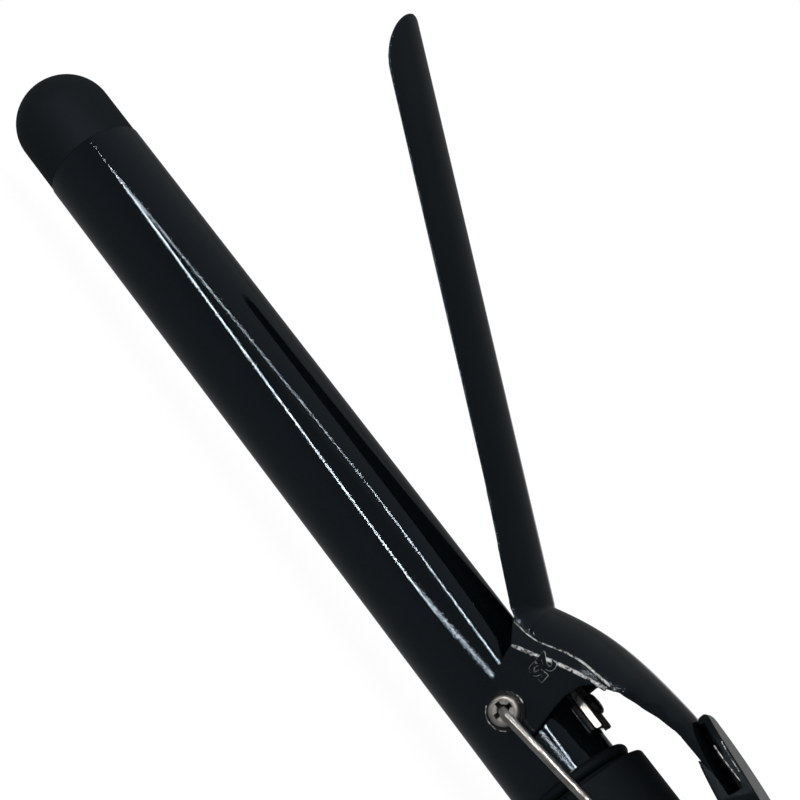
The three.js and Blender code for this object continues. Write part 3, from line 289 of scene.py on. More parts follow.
def slab(name, outline, y_from, y_to, holes=()):
    """A side view of (x, z) points with thickness across."""
    drawing = bpy.data.curves.new(name, "CURVE")
    drawing.dimensions = "2D"
    drawing.fill_mode = "BOTH"
    drawing.extrude = abs(y_to - y_from) / 2 * MM
    for line in (outline, *holes):
        spline = drawing.splines.new("POLY")
        spline.points.add(len(line) - 1)
        for spot, point in zip(spline.points, line):
            spot.co = (point[0] * MM, point[1] * MM, 0, 1)
        spline.use_cyclic_u = True
    drawn = bpy.data.objects.new(name, drawing)
    bpy.context.scene.collection.objects.link(drawn)
    obj = settled(drawn, name)
    middle_y = (y_from + y_to) / 2
    for v in obj.data.vertices:
        x, z, y = v.co
        v.co = place(x / MM, middle_y + y / MM, z / MM)
    obj.data.flip_normals()
    return obj


def swept(name, line, r, sides=28):
    """A round bar along a line, with its ends eased."""
    bm = bmesh.new()
    side = Vector((0, 0, 1))
    loops = []
    last = len(line) - 1
    eased = {0: [(0, 0.8), (0.18, 1)], last: [(-0.18, 1), (0, 0.8)]}  # shift in mm and share of the radius
    for i, spot in enumerate(line):
        along = (line[min(i + 1, last)] - line[max(i - 1, 0)]).normalized()
        side = (side - along * side.dot(along)).normalized()
        other = along.cross(side)
        for shift, share in eased.get(i, [(0, 1)]):
            ring = []
            for j in range(sides):
                a = math.tau * j / sides
                out = (side * math.cos(a) + other * math.sin(a)) * r * share
                ring.append(bm.verts.new(place(*(spot + along * shift + out))))
            loops.append(ring)
    for one, two in zip(loops, loops[1:]):
        skin(bm, one, two)
    bm.faces.new(loops[0])
    bm.faces.new(loops[-1])
    return shaded(made(name, bm), 50)


def prism(name, outline, z_from, z_to):
    """A plan of (x, y) points with height."""
    bm = bmesh.new()
    low = [bm.verts.new(place(x, y, z_from)) for x, y in outline]
    high = [bm.verts.new(place(x, y, z_to)) for x, y in outline]
    skin(bm, low, high)
    bm.faces.new(low)
    bm.faces.new(high)
    return made(name, bm)


def block(name, low, high):
    (x0, y0, z0), (x1, y1, z1) = low, high
    return prism(name, [(x0, y0), (x1, y0), (x1, y1), (x0, y1)], z0, z1)


def settled(obj, name):
    """The object as a plain mesh, with its modifiers applied."""
    bpy.context.view_layer.update()
    graph = bpy.context.evaluated_depsgraph_get()
    mesh = bpy.data.meshes.new_from_object(obj.evaluated_get(graph))
    mesh.transform(obj.matrix_world)
    plain = bpy.data.objects.new(name, mesh)
    bpy.data.objects.remove(obj, do_unlink=True)
    plain.name = name
    mesh.name = name
    bpy.context.scene.collection.objects.link(plain)
    return plain


def joined(name, objs):
    """One mesh from several, each with its finishes' places kept."""
    bm = bmesh.new()
    for obj in objs:
        bm.from_mesh(obj.data)
        bpy.data.objects.remove(obj, do_unlink=True)
    mesh = bpy.data.meshes.new(name)
    bm.to_mesh(mesh)
    bm.free()
    whole = bpy.data.objects.new(name, mesh)
    bpy.context.scene.collection.objects.link(whole)
    return whole


def carved(obj, cutters, how="DIFFERENCE"):
    """The object cut by, or kept only within, the cutters, which are used up."""
    name = obj.name
    for cutter in cutters:
        cut = obj.modifiers.new("cut", "BOOLEAN")
        cut.operation = how
        cut.solver = "EXACT"
        cut.object = cutter
    whole = settled(obj, name)
    for cutter in cutters:
        bpy.data.objects.remove(cutter, do_unlink=True)
    return whole


def pressed(obj, grain, rounds):
    """One skin over overlapping bodies, with every bend and edge softened."""
    name = obj.name
    skin_over = obj.modifiers.new("skin", "REMESH")
    skin_over.mode = "VOXEL"
    skin_over.voxel_size = grain * MM
    soften = obj.modifiers.new("soften", "SMOOTH")
    soften.factor = 0.5
    soften.iterations = rounds
    thin = obj.modifiers.new("thin", "DECIMATE")
    thin.ratio = 0.5
    return shaded(settled(obj, name))


def edged(obj, width):
    """Small rounded edges."""
    bevel = obj.modifiers.new("edges", "BEVEL")
    bevel.width = width * MM
    bevel.segments = 3
    bevel.limit_method = "ANGLE"
    bevel.angle_limit = math.radians(35)
    bevel.harden_normals = True
    return shaded(obj)


def second_finish(obj, where=lambda face: True):
    """Gives the piece's second finish to every face, or to those that pass the test."""
    for face in obj.data.polygons:
        face.material_index = int(where(face))
    return obj


def finished(obj, name, slot, body, *nodes, second=None):
    """Gives a piece its finish and body, in place of the nodes that it stands for; the slot is not used."""
    parts = [face.material_index for face in obj.data.polygons]
    obj.data.materials.clear()
    obj.data.materials.append(Finishes.of(name))
    if second:
        obj.data.materials.append(Finishes.of(second))
        obj.data.polygons.foreach_set("material_index", parts)
    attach(obj, body)
    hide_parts(*nodes)


# ---- Shader writing -------------------------------------------------------------------------


class Value:
    """A number socket, so that shader maths reads as an expression."""

    def __init__(self, shader, socket):
        self.shader = shader
        self.socket = socket

    def _maths(self, operation, *terms):
        return self.shader.node("ShaderNodeMath", {"operation": operation}, dict(enumerate(terms)))

    def __add__(self, other):
        return self._maths("ADD", self, other)

    def __radd__(self, other):
        return self._maths("ADD", other, self)

    def __sub__(self, other):
        return self._maths("SUBTRACT", self, other)

    def __rsub__(self, other):
        return self._maths("SUBTRACT", other, self)

    def __mul__(self, other):
        return self._maths("MULTIPLY", self, other)

    def __rmul__(self, other):
        return self._maths("MULTIPLY", other, self)


class Shader:
    """A material's or world's nodes."""

    def __init__(self, owner):
        owner.use_nodes = True
        self.tree = owner.node_tree
        self.tree.nodes.clear()

    def node(self, kind, settings=None, inputs=None, output=0):
        made_node = self.tree.nodes.new(kind)
        for key, value in (settings or {}).items():
            if key == "stops":
                ramp = made_node.color_ramp
                for spare in list(ramp.elements)[1:]:
                    ramp.elements.remove(spare)
                ramp.elements[0].position, ramp.elements[0].color = value[0]
                for position, shade in value[1:]:
                    ramp.elements.new(position).color = shade
            else:
                setattr(made_node, key, value)
        for key, value in (inputs or {}).items():
            socket = made_node.inputs[key]
            if isinstance(value, Value):
                self.tree.links.new(value.socket, socket)
            else:
                socket.default_value = value
        return Value(self, made_node.outputs[output]) if made_node.outputs else None

    def place(self, scale=(1, 1, 1)):
        spot = self.node("ShaderNodeTexCoord", output=3)
        return self.node("ShaderNodeVectorMath", {"operation": "MULTIPLY"}, {0: spot, 1: scale})

    def along(self, way, direction):
        length = math.sqrt(sum(part * part for part in direction))
        unit = [part / length for part in direction]
        return self.node("ShaderNodeVectorMath", {"operation": "DOT_PRODUCT"}, {0: way, 1: unit}, output=1)

    def noise(self, scale, detail=2.0, roughness=0.5, where=None):
        inputs = {"Vector": where or self.place(), "Scale": scale, "Detail": detail, "Roughness": roughness}
        return self.node("ShaderNodeTexNoise", {"noise_dimensions": "3D"}, inputs)

    def ramp(self, value, low, high, to_low=0.0, to_high=1.0):
        inputs = {"Value": value, 1: low, 2: high, 3: to_low, 4: to_high}
        return self.node("ShaderNodeMapRange", {}, inputs)

    def tint(self, amount, one, two):
        inputs = {0: amount, 6: (*one, 1), 7: (*two, 1)}
        return self.node("ShaderNodeMix", {"data_type": "RGBA"}, inputs, output=2)

    def bump(self, height, distance, after=None):
        inputs = {"Height": height, "Distance": distance * MM, "Strength": 1.0}
        if after is not None:
            inputs["Normal"] = after
        return self.node("ShaderNodeBump", {}, inputs)

    def surface(self, **inputs):
        named = {key.replace("_", " "): value for key, value in inputs.items()}
        named = {"Specular IOR Level" if key == "Specular" else key: value for key, value in named.items()}
        whole = self.node("ShaderNodeBsdfPrincipled", {}, named)
        self.node("ShaderNodeOutputMaterial", {}, {"Surface": whole})


def new_finish(name):
    material = bpy.data.materials.new(name)
    return material, Shader(material)


def shades(base, less, more):
    """A darker and a lighter shade of a colour."""
    return [channel * less for channel in base], [channel * more for channel in base]


CLEAR_SHEEN = (1.0, 1.0, 1.0, 1.0)
COOL_SHEEN = (0.66, 0.84, 1.0, 1.0)  # the coatings' and mouldings' blue-black gloss


def coated(name, base, roughness, peel, peel_scale, specular, speckle):
    """Baked or powder coating: orange peel in the surface, a fine grain, slightly uneven gloss."""
    material, shader = new_finish(name)
    peel_height = shader.noise(peel_scale, 2.0, 0.55)
    grain = shader.noise(peel_scale * 5.5, 2.0, 0.6)
    drift = shader.noise(38.0, 2.0, 0.5)
    dark, light = shades(base, 0.86, 1.14)
    rough = shader.ramp(drift, 0.3, 0.7, roughness * 0.9, roughness * 1.12)
    shader.surface(
        Base_Color=shader.tint(shader.ramp(drift, 0.3, 0.7), dark, light),
        Roughness=rough + grain * (roughness * 0.12),
        Specular=specular,
        Specular_Tint=COOL_SHEEN,
        Normal=shader.bump(grain, speckle, shader.bump(peel_height, peel)),
    )
    return material


def moulded(name, base, roughness, texture, texture_scale, specular=0.5, sheen=COOL_SHEEN):
    """Moulded plastic: an even fine texture from the mould, and a trace of flow in the colour."""
    material, shader = new_finish(name)
    fine = shader.noise(texture_scale, 3.0, 0.65)
    flow = shader.noise(24.0, 3.0, 0.5, shader.place((0.4, 1, 1)))
    dark, light = shades(base, 0.88, 1.12)
    shader.surface(
        Base_Color=shader.tint(shader.ramp(flow, 0.3, 0.7), dark, light),
        Roughness=shader.ramp(fine, 0.3, 0.7, roughness * 0.93, roughness * 1.08),
        Specular=specular,
        Specular_Tint=sheen,
        Normal=shader.bump(fine, texture),
    )
    return material


def metal(name, base, roughness, scratch=0.003, stretch=(1, 1, 1), plating=1.0):
    """Drawn or plated metal: fine scratches along one way, clouded gloss, a little dirt."""
    material, shader = new_finish(name)
    scratches = shader.noise(2600.0, 3.0, 0.6, shader.place(stretch))
    cloud = shader.noise(320.0, 3.0, 0.55)
    dark, light = shades(base, 0.80, 1.08)
    dulled = shader.ramp(cloud, 0.3, 0.7, roughness * 0.8, roughness * 1.4)
    shader.surface(
        Base_Color=shader.tint(shader.ramp(cloud, 0.35, 0.6), dark, light),
        Metallic=plating,
        Roughness=dulled + scratches * (roughness * 0.25),
        Normal=shader.bump(scratches, scratch),
    )
    return material


def ceramic(name, base, roughness=0.6):
    """Sintered or printed part: speckled colour and a dry surface."""
    material, shader = new_finish(name)
    speck = shader.noise(1400.0, 3.0, 0.7)
    dark, light = shades(base, 0.8, 1.05)
    shader.surface(
        Base_Color=shader.tint(shader.ramp(speck, 0.35, 0.6), dark, light),
        Roughness=shader.ramp(speck, 0.3, 0.7, roughness * 0.85, roughness * 1.1),
        Normal=shader.bump(speck, 0.01),
    )
    return material


def rubbed(name, base, bare):
    """Pale specks painted on a bend or a raised edge as its highlight line, with a little metallic gloss that
    also takes real reflections.
    """
    material, shader = new_finish(name)
    speck = shader.noise(900.0, 3.0, 0.7)
    painted_specks = shader.ramp(speck, 0.42, 0.56)
    shader.surface(
        Base_Color=shader.tint(painted_specks, base, bare),
        Metallic=painted_specks * 0.25,
        Roughness=shader.ramp(speck, 0.3, 0.7, 0.22, 0.34),
        Normal=shader.bump(speck, 0.01),
    )
    return material


class Finishes:
    """Every finish of the iron, made once from the chosen colours."""

    made = {}

    @classmethod
    def of(cls, name):
        if name not in cls.made:
            c = bpy.context.scene.iron_colours
            drawn = (0.05, 1, 1)  # scratches stretched along X
            across = (1, 0.15, 1)
            makers = {
                "gloss_coat": (coated, c.gloss_coat, 0.030, 0.0007, 420.0, 0.70, 0.008),
                "satin_coat": (coated, c.satin_coat, 0.12, 0.004, 520.0, 0.62, 0.011),
                # painted highlight finish: pale specks on bends, digits, edge lines and washer lips
                "rubbed_coat": (rubbed, c.satin_coat, c.rubbed),
                "cap_moulding": (moulded, c.cap_moulding, 0.50, 0.002, 1400.0, 0.10),
                "gloss_moulding": (moulded, c.gloss_moulding, 0.36, 0.0016, 900.0, 0.20),
                "satin_moulding": (moulded, c.satin_moulding, 0.60, 0.007, 1500.0, 0.22),
                "nickel": (metal, c.nickel, 0.30, 0.003, across),
                # darker nickel painted in the screws' cross recesses as their shade
                "dull_nickel": (metal, (0.12, 0.12, 0.12), 0.5, 0.006),
                "bright_nickel": (metal, c.spring_steel, 0.24, 0.002, across),
                "wire_nickel": (metal, c.nickel, 0.13, 0.009, drawn),
                "matt_black": (metal, c.black_steel, 0.75, 0.004, (1, 1, 1), 0.0),
                "spring_steel": (metal, c.spring_steel, 0.12, 0.002, (0.1, 1, 1)),
                "black_steel": (metal, c.black_steel, 0.20, 0.003, (1, 1, 1), 0.0),
                "aluminium": (metal, (0.75, 0.76, 0.77), 0.4, 0.006, drawn),
                "ceramic": (ceramic, (0.82, 0.79, 0.71)),
                "board": (ceramic, (0.03, 0.16, 0.07), 0.45),
                "lead_red": (moulded, (0.42, 0.04, 0.03), 0.45, 0.004, 900.0, 0.5, CLEAR_SHEEN),
                "lead_white": (moulded, (0.74, 0.73, 0.69), 0.45, 0.004, 900.0, 0.5, CLEAR_SHEEN),
                "amber": (moulded, c.amber, 0.12, 0.001, 700.0, 0.5, CLEAR_SHEEN),
            }
            maker, *settings = makers[name]
            cls.made[name] = maker(name, *settings)
        return cls.made[name]


# ---- Pieces ---------------------------------------------------------------------------------

SHARP = 32  # degrees at which a turned piece's corners stay sharp


class IRON_OT_barrel(bpy.types.Operator):
    """Build the heated tube"""

    bl_idname = "iron.build_barrel"
    bl_label = "Barrel"

    def execute(self, context):
        s = context.scene.iron_sizes
        r = s.barrel_r / MM
        bore = r - s.barrel_wall / MM
        front, rear = reach("barrel_tube", 0, -1), reach("barrel_tube", 0, 1)
        edge = 0.15
        bush_r, thread_r, deep = 3.5, 1.6, 20  # of the holes for the pivot's bushes and the spring's screw
        lip = rounded(front + edge, r - edge, -edge, edge, count=6)[::-1]
        rings = [(front + 0.3 + (rear - front - 0.3) * i / 40, r) for i in range(1, 41)]
        profile = [(front, bore), *lip, (front + 0.45, r), *rings, (rear, bore)]
        tube = lathe("barrel_tube_skin", profile, s.barrel_sides)
        across = [(-deep, 0), (-deep, bush_r), (deep, bush_r), (deep, 0)]
        across = lathe("bush_holes", across, 48, "Y", PIVOT_CENTRE)
        tapped = [(0, 0), (0, thread_r), (deep, thread_r), (deep, 0)]
        tapped = lathe("tapped_hole", tapped, 32, "Z", (spring_screw_x(), 0, 0))
        tube = carved(tube, [across, tapped])
        finished(shaded(tube, SHARP), "gloss_coat", "gloss_coat", "iron", "barrel_tube")
        return {"FINISHED"}


def spring_screw_x():
    return (middle("spring_screw").x - PIVOT.x) / MM


class IRON_OT_tip_cap(bpy.types.Operator):
    """Build the cap on the barrel's tip"""

    bl_idname = "iron.build_tip_cap"
    bl_label = "Tip cap"

    def execute(self, context):
        s = context.scene.iron_sizes
        r, dome = s.cap_r / MM, s.cap_dome / MM
        tip = reach("tip_cap", 0, -1)
        end = reach("tip_cap", 0, 1)
        shoulder = reach("barrel_tube", 0, -1) - 0.08
        fit = (s.barrel_r - s.barrel_wall) / MM - SLIDING_GAP
        wall, edge = 1.8, 0.15
        outside = rounded(tip + dome, 0, -dome, r, count=40)[::-1]
        rim = rounded(shoulder - edge, r - edge, edge, edge, count=5)
        inside = rounded(tip + dome, 0, wall - dome, r - wall, count=12)
        spigot = [(shoulder, fit), (end, fit), (end, fit - wall), (tip + dome, fit - wall)]
        cap = lathe("tip_cap_skin", [*outside, *rim, *spigot, *inside[1:]], s.barrel_sides)
        finished(shaded(cap, SHARP), "cap_moulding", "gloss_plastic", "iron", "tip_cap")
        return {"FINISHED"}


def clamp_curve(r):
    """The lever's centre line in the side view, clamp shut, for a spoon of radius r."""
    curve = bezier(
        (-20.6, r + 0.4),
        ((-13.4, r + 9.9), (-7.5, r + 15), (8.5, r + 24.1)),
        ((12, r + 26.1), (18, r + 27.6), (27, r + 30.8)),
        ((31.6, r + 32.43), (36.2, r + 34.07), (40.8, r + 35.7)),
        steps=60,
    )
    return evenly(curve, 84)


LEVER_LENGTH = 90  # a little past the lever's end, in mm along its centre line


def lever_section(s, at, spoon_r):
    """Half-width and depth of the pressed channel, by distance along the lever from its foot."""
    ear, strap = s.ear_y / MM, s.strap_half / MM
    table = [
        (0, spoon_r - 1.4, 7.5), (10, ear - 1.8, 8.6), (20, ear - 0.6, 7.5),
        (26, ear - 0.1, 6.9), (31, ear - 1.6, 6.0), (36, strap + 3.5, 5.0),
        (42, strap + 1.7, 4.2), (50, strap + 0.3, 3.4), (LEVER_LENGTH, strap, 2.9),
    ]
    k = next(n for n in range(1, len(table)) if table[n][0] >= at)
    (s0, w0, d0), (s1, w1, d1) = table[k - 1], table[k]
    even = (at - s0) / (s1 - s0)
    share = 0.5 * smooth(0, 1, even) + 0.5 * even
    return mix(w0, w1, share), mix(d0, d1, share)


ARCH_STEPS = 28  # facets across the spoon and the lever


def spread(half_angle):
    """Angles from one side to the other."""
    return [half_angle * (2 * i / ARCH_STEPS - 1) for i in range(ARCH_STEPS + 1)]


def arch_ring(crown, direction, half_width, depth, sweep, sheet):
    """A section of the lever, square to its centre line."""
    down = Vector((direction.y, -direction.x))

    def arc(width, high, inset, angle):
        y = width * math.sin(angle) / math.sin(sweep)
        fall = inset + high * (1 - math.cos(angle)) / (1 - math.cos(sweep))
        return (crown.x + down.x * fall, y, crown.y + down.y * fall)

    sweeps = spread(sweep)
    outer = [arc(half_width, depth, 0, a) for a in sweeps]
    return outer + [arc(half_width - sheet, depth - sheet * 0.8, sheet, a) for a in reversed(sweeps)]


def spoon_ring(x, half_angle, inside, outside):
    """A section of the spoon, square to the barrel."""
    turns = spread(half_angle)
    outer = [(x, outside * math.sin(a), outside * math.cos(a)) for a in turns]
    return outer + [(x, inside * math.sin(a), inside * math.cos(a)) for a in reversed(turns)]


def clamp_sheet(s):
    """Spoon and lever, clamp shut."""
    inside = (s.barrel_r + s.spoon_gap) / MM
    sheet = s.sheet / MM
    outside = inside + sheet
    root = -21.6  # where the spoon ends and the lever's foot begins
    end, nose = -s.spoon_end / MM, s.spoon_nose / MM
    half = s.spoon_half_angle
    root_half = half + s.spoon_flare
    foot_sweep, tail_sweep = math.radians(72), math.radians(82)
    rings = []
    nose_rings, spoon_rings, foot_rings = 26, 40, 8
    for i in range(nose_rings):
        angle = math.radians(4) + i / nose_rings * math.radians(86)  # up to square, where the spoon is full
        rings.append(spoon_ring(end + nose * (1 - math.cos(angle)), half * math.sin(angle), inside, outside))
    for i in range(spoon_rings + 1):
        x = mix(end + nose, root, i / spoon_rings)
        rings.append(spoon_ring(x, mix(half, root_half, smooth(root - 32, root + 4, x)), inside, outside))
    line = clamp_curve(outside)
    start = (line[1] - line[0]).normalized()
    for i in range(1, foot_rings):
        share = i / foot_rings
        crown = Vector((root, outside)).lerp(line[0], share)
        crown.y -= 0.35 * math.sin(math.pi * share)
        slope = math.atan2(start.y, start.x) * share
        sweep = mix(root_half, foot_sweep, share)
        width = outside * math.sin(sweep) - 0.4 * share
        rings.append(arch_ring(crown, Vector((math.cos(slope), math.sin(slope))), width, 7.1, sweep, sheet))
    step = (line[1] - line[0]).length
    for i, crown in enumerate(line):
        before, after = line[max(i - 1, 0)], line[min(i + 1, len(line) - 1)]
        width, depth = lever_section(s, min(i * step, LEVER_LENGTH - 1), outside)
        sweep = mix(foot_sweep, tail_sweep, min(1, 3 * i / len(line)))
        rings.append(arch_ring(crown, (after - before).normalized(), width, depth, sweep, sheet))
    return loft("clamp_sheet", rings)


def joggle_lines(s):
    """Where the sheet is joggled out to the ear, and the ear's upper edge, about the pivot."""
    spoon_r = (s.barrel_r + s.spoon_gap + s.sheet) / MM
    ear = s.ear_y / MM
    edge = spoon_r * math.cos(s.spoon_half_angle)
    inner = [
        (-19.0, spoon_r - 1.3, edge - 1.7),
        (-13.6, spoon_r - 1.05, edge + 2.1),
        (-8.9, ear - 1.85, spoon_r + 2.0),
        (-5.4, ear - 1.2, spoon_r + 5.6),
        (1.7, ear - 0.15, spoon_r + 10.9),
    ]
    outer = [
        (-13.7, 4.2),
        (-10.4, spoon_r - 4.9),
        (-7.3, spoon_r - 0.3),
        (-3.0, spoon_r + 5.1),
        (0.8, spoon_r + 9.2),
    ]
    inner = through([Vector((x, y, z + PIVOT_LIFT)) for x, y, z in inner])
    outer = through([Vector((x, ear, z + PIVOT_LIFT)) for x, z in outer])
    return evenly(inner, 48), evenly(outer, 48)


def joggle(s, side):
    """The slope of sheet between the lever's flank and the ear, lapped a little into both."""
    lap = 0.35
    inner, outer = joggle_lines(s)
    back = Vector((0, -s.sheet / MM, 0))
    rings = []
    for a, b in zip(inner, outer):
        along = b - a
        along.y = 0
        along = along.normalized() * lap
        a, b = a - along, b + along
        ring = [a, b, b + back, a + back]
        rings.append([(p.x, p.y * side, p.z) for p in ring])
    return loft(f"joggle_{side}", rings)


def creases(s, side):
    """The rounded bends along both edges of the joggle, each tangent to the flats beside it."""
    bends = []
    half_bend = math.tan(math.radians(22.5))
    for line, r, proud in zip(joggle_lines(s), (0.40, 0.55), (0.20, 0.07)):
        sunk = r - proud
        run = [Vector((p.x, (p.y - sunk) * side, p.z - sunk * half_bend)) for p in line[1:-1]]
        # the bends carry the painted highlight finish, pale specks standing in for their highlight lines
        bends.append(second_finish(swept(f"crease_{side}", run, r, 48)))
    return bends


def ear_outline(s, notch=0.0):
    """The ear's rounded outline, with the lobe round the pivot."""
    spoon_r = (s.barrel_r + s.spoon_gap + s.sheet) / MM
    _, edge = joggle_lines(s)
    top = [Vector((p.x, p.z - PIVOT_LIFT)) for p in edge]
    lobe = 5.0
    low = Vector((lobe * math.cos(math.radians(238)), lobe * math.sin(math.radians(238))))
    line = [top[0], Vector((-lobe - 1.4, -2.4))]
    line += bezier((-lobe - 1.4, -2.4), ((-lobe - 0.6, -3.6), (-lobe + 0.9, -4.22), low))[1:]
    line += [Vector((math.cos(math.radians(a)), math.sin(math.radians(a)))) * lobe for a in range(241, 326, 3)]
    line += bezier((6.2, 1.2), ((6.73, 2.67), (6.57, 4.07), (5.7, 5.4)))
    line += bezier(
        (5.7, 5.4),
        ((2.2 - notch, spoon_r - 3.3), (-1.6 - notch, spoon_r + 0.3), (-1.4 - notch, spoon_r + 3.9)),
        ((-1.2 - notch, spoon_r + 6.3), (-0.3 - notch, spoon_r + 7.9), top[-1]),
    )[1:]
    line += top[::-1][1:-1]
    return [(p.x, p.y + PIVOT_LIFT) for p in line]


FAR_EAR_NOTCH = 1.6  # in mm; the far ear is narrower behind the spring's screw


def ear(s, side):
    outside, inside = s.ear_y / MM, (s.ear_y - s.sheet) / MM
    turns = [math.tau * i / 40 for i in range(40)]
    bore = [(SCREW_HOLE * math.cos(a), SCREW_HOLE * math.sin(a) + PIVOT_LIFT) for a in turns]
    outline = ear_outline(s, FAR_EAR_NOTCH if side > 0 else 0.0)
    return slab(f"ear_{side}", outline, inside * side, outside * side, [bore])


NUMBER_PLACE = (-7.4, 9.8)  # on the ear, about the pivot, clamp shut
NUMBER_TURN = 56


def size_number(s):
    """The barrel's size, pressed in the ear."""
    text = bpy.data.curves.new("size_number", "FONT")
    text.body = f"{round(2 * s.barrel_r / MM)}"
    text.size = s.number_height * 1.42  # from the height of a digit to the height of a line
    text.extrude = 0.06 * MM
    text.bevel_depth = 0.24 * MM
    text.bevel_resolution = 3
    text.offset = 0.04 * MM
    text.align_x = "CENTER"
    text.align_y = "CENTER"
    drawn = bpy.data.objects.new("size_number", text)
    bpy.context.scene.collection.objects.link(drawn)
    stand_up = Matrix.Rotation(math.radians(90), 4, "X")
    tilt = Matrix.Rotation(math.radians(NUMBER_TURN), 4, "Y")
    x, z = NUMBER_PLACE
    drawn.matrix_world = Matrix.Translation(place(x, -s.ear_y / MM + 0.02, z + PIVOT_LIFT)) @ tilt @ stand_up
    # the digits' sloping sides carry the painted highlight finish as bright outlines
    return second_finish(settled(drawn, "size_number"), lambda face: abs(face.normal.y) < 0.80)


class IRON_OT_clamp(bpy.types.Operator):
    """Press the clamp from one sheet: spoon, ears and lever"""

    bl_idname = "iron.build_clamp"
    bl_label = "Clamp"

    def execute(self, context):
        s = context.scene.iron_sizes
        parts = [clamp_sheet(s), joggle(s, 1), joggle(s, -1), ear(s, 1), ear(s, -1)]
        sheet = pressed(joined("clamp_skin", parts), grain=0.25, rounds=5)
        sheet = joined("clamp_skin", [sheet, size_number(s), *creases(s, 1), *creases(s, -1)])
        shaded(sheet).data.transform(opened(s))
        # second finish: painted highlight on the bends and the digits' sides
        finished(sheet, "satin_coat", "satin_coat", "clamp", "clamp_lever", second="rubbed_coat")
        return {"FINISHED"}


def opened(s):
    """Turns a piece drawn with the clamp shut to its open position."""
    return Matrix.Translation(PIVOT) @ Matrix.Rotation(s.clamp_open, 4, "Y") @ Matrix.Translation(-PIVOT)


class IRON_OT_thumb_grip(bpy.types.Operator):
    """Build the moulded thumb rest on the lever's end"""

    bl_idname = "iron.build_thumb_grip"
    bl_label = "Thumb grip"

    def execute(self, context):
        s = context.scene.iron_sizes
        r = (s.barrel_r + s.spoon_gap + s.sheet) / MM
        half = s.strap_half / MM + 2.5
        wall, web = 1.6, 1
        sleeve = 26.6  # where the closed sleeve round the lever's end begins

        def high(points):
            return [(x, z + r) for x, z in points]

        top = bezier(
            (9.5, 26.6),
            ((9.5, 27.7), (10.6, 28), (12.1, 28.5)),
            ((18, 30.7), (22, 32.2), (28.7, 34.4)),
            ((36, 36.7), (42, 39), (48, 42.7)),
            ((49.9, 43.9), (51, 42.5), (50.6, 40.7)),
        )
        under = bezier(
            (50.6, 40.7),
            ((48.9, 37.4), (45.3, 34.3), (40, 31.5)),
            ((36.5, 29.4), (32.5, 27.5), (27.8, 26)),
            ((24.5, 25.1), (21.3, 24.2), (18.3, 23.7)),
            ((19.9, 25.3), (22.9, 27.3), (sleeve + 0.8, 28.5)),
        )
        mouth = bezier(
            (sleeve, 31.5),
            ((22.8, 30.1), (18, 27.2), (13, 26.1)),
            ((11.9, 25.5), (11, 25.3), (10.2, 25.5)),
        )
        body = slab("thumb_grip_skin", high([*top, *under[1:], *mouth]), -half, half)
        side = bezier(
            (9, 0),
            ((9, half - 4), (14, half - 1.6), (28, half)),
            ((33, half), (37, half), (42, half)),
            ((48.7, half), (52, half * 2 / 3), (52, 0)),
        )
        outline = [(p.x, p.y) for p in side] + [(p.x, -p.y) for p in side[-2:0:-1]]
        plan = prism("grip_plan", outline, 0, 80)
        body = carved(body, [plan], "INTERSECT")
        back = sleeve + 0.4
        roof = high([(11.6, 26.6), (sleeve - 1.6, 31.6), (back, 30.4), (back, 22.5), (11.6, 22.5)])
        sides = [slab("grip_roof", roof, web * way, (half - wall) * way) for way in (1, -1)]
        body = pressed(carved(body, [*sides, self.pocket(s, r)]), grain=0.2, rounds=6)
        fold = bezier((16.2, 28.9), ((18.2, 29.5), (20.5, 30.2), (23.2, 31.2)))
        lines = [self.edge_line(run, side, way, r) for run in (mouth[2:13], fold) for way in (-1, 1)]
        body = joined("thumb_grip_skin", [body, *lines])
        body.data.transform(opened(s))
        # the edge lines carry the painted highlight finish
        finished(body, "gloss_moulding", "gloss_plastic", "clamp", "thumb_grip", second="rubbed_coat")
        return {"FINISHED"}

    def edge_line(self, run, side, way, r):
        """A thin line of painted highlight along an edge of the grip's flank."""
        line = []
        spans = [(a, b) for a, b in zip(side, side[1:]) if b.x > a.x]
        for p in run:
            before, after = next(span for span in spans if span[1].x >= p.x)
            y = mix(before.y, after.y, (p.x - before.x) / (after.x - before.x))
            line.append(Vector((p.x, way * (y - 0.12), p.y + r + PIVOT_LIFT)))
        return second_finish(swept("edge_line", line, 0.17, 12))

    def pocket(self, s, spoon_r):
        """Room for the lever's end inside the sleeve; its roof dips a little into the lever's crown."""
        line = clamp_curve(spoon_r)
        step = (line[1] - line[0]).length
        rings = []
        for i in range(len(line) // 2, len(line)):
            along = (line[i] - line[i - 1]).normalized()
            crown = line[i] + along * (SLIDING_GAP if i == len(line) - 1 else 0)
            width, depth = lever_section(s, i * step, spoon_r)
            width, depth = width + SLIDING_GAP, depth + SLIDING_GAP
            corners = [(-width, 0.15), (width, 0.15), (width, depth), (-width, depth)]
            rings.append([(crown.x + along.y * fall, y, crown.y - along.x * fall) for y, fall in corners])
        return loft("lever_pocket", rings)


def cross_recess(top, size, depth, about, centre, sign=1):
    """Tapered cross for a screwdriver, to be cut from a head."""
    cutters = []
    for turned in (False, True):
        rings = []
        for share in (0, 1):
            arm = size / 2 * mix(1.1, 0.62, share)
            half = size * mix(0.125, 0.09, share)
            level = mix(top + 0.4, top - depth, share) * sign
            ring = []
            for u, v in [(-half, -arm), (half, -arm), (half, arm), (-half, arm)]:
                u, v = (v, -u) if turned else (u, v)
                spot = (u, level, v) if about == "Y" else (u, v, level)
                ring.append(tuple(Vector(spot) + Vector(centre)))
            rings.append(ring)
        cutters.append(loft("recess", rings))
    return cutters


def on_pivot(name, profile, side):
    """A closed profile of (outwards, radius) turned about the clamp's pivot."""
    return lathe(name, [(y * side, q) for y, q in profile], 72, "Y", PIVOT_CENTRE)


def from_pivot(face):
    """A face's distance along the pivot, and its place round it."""
    out = (face.center - place(*PIVOT_CENTRE)) / MM
    return abs(out.y), Vector((out.x, out.z))


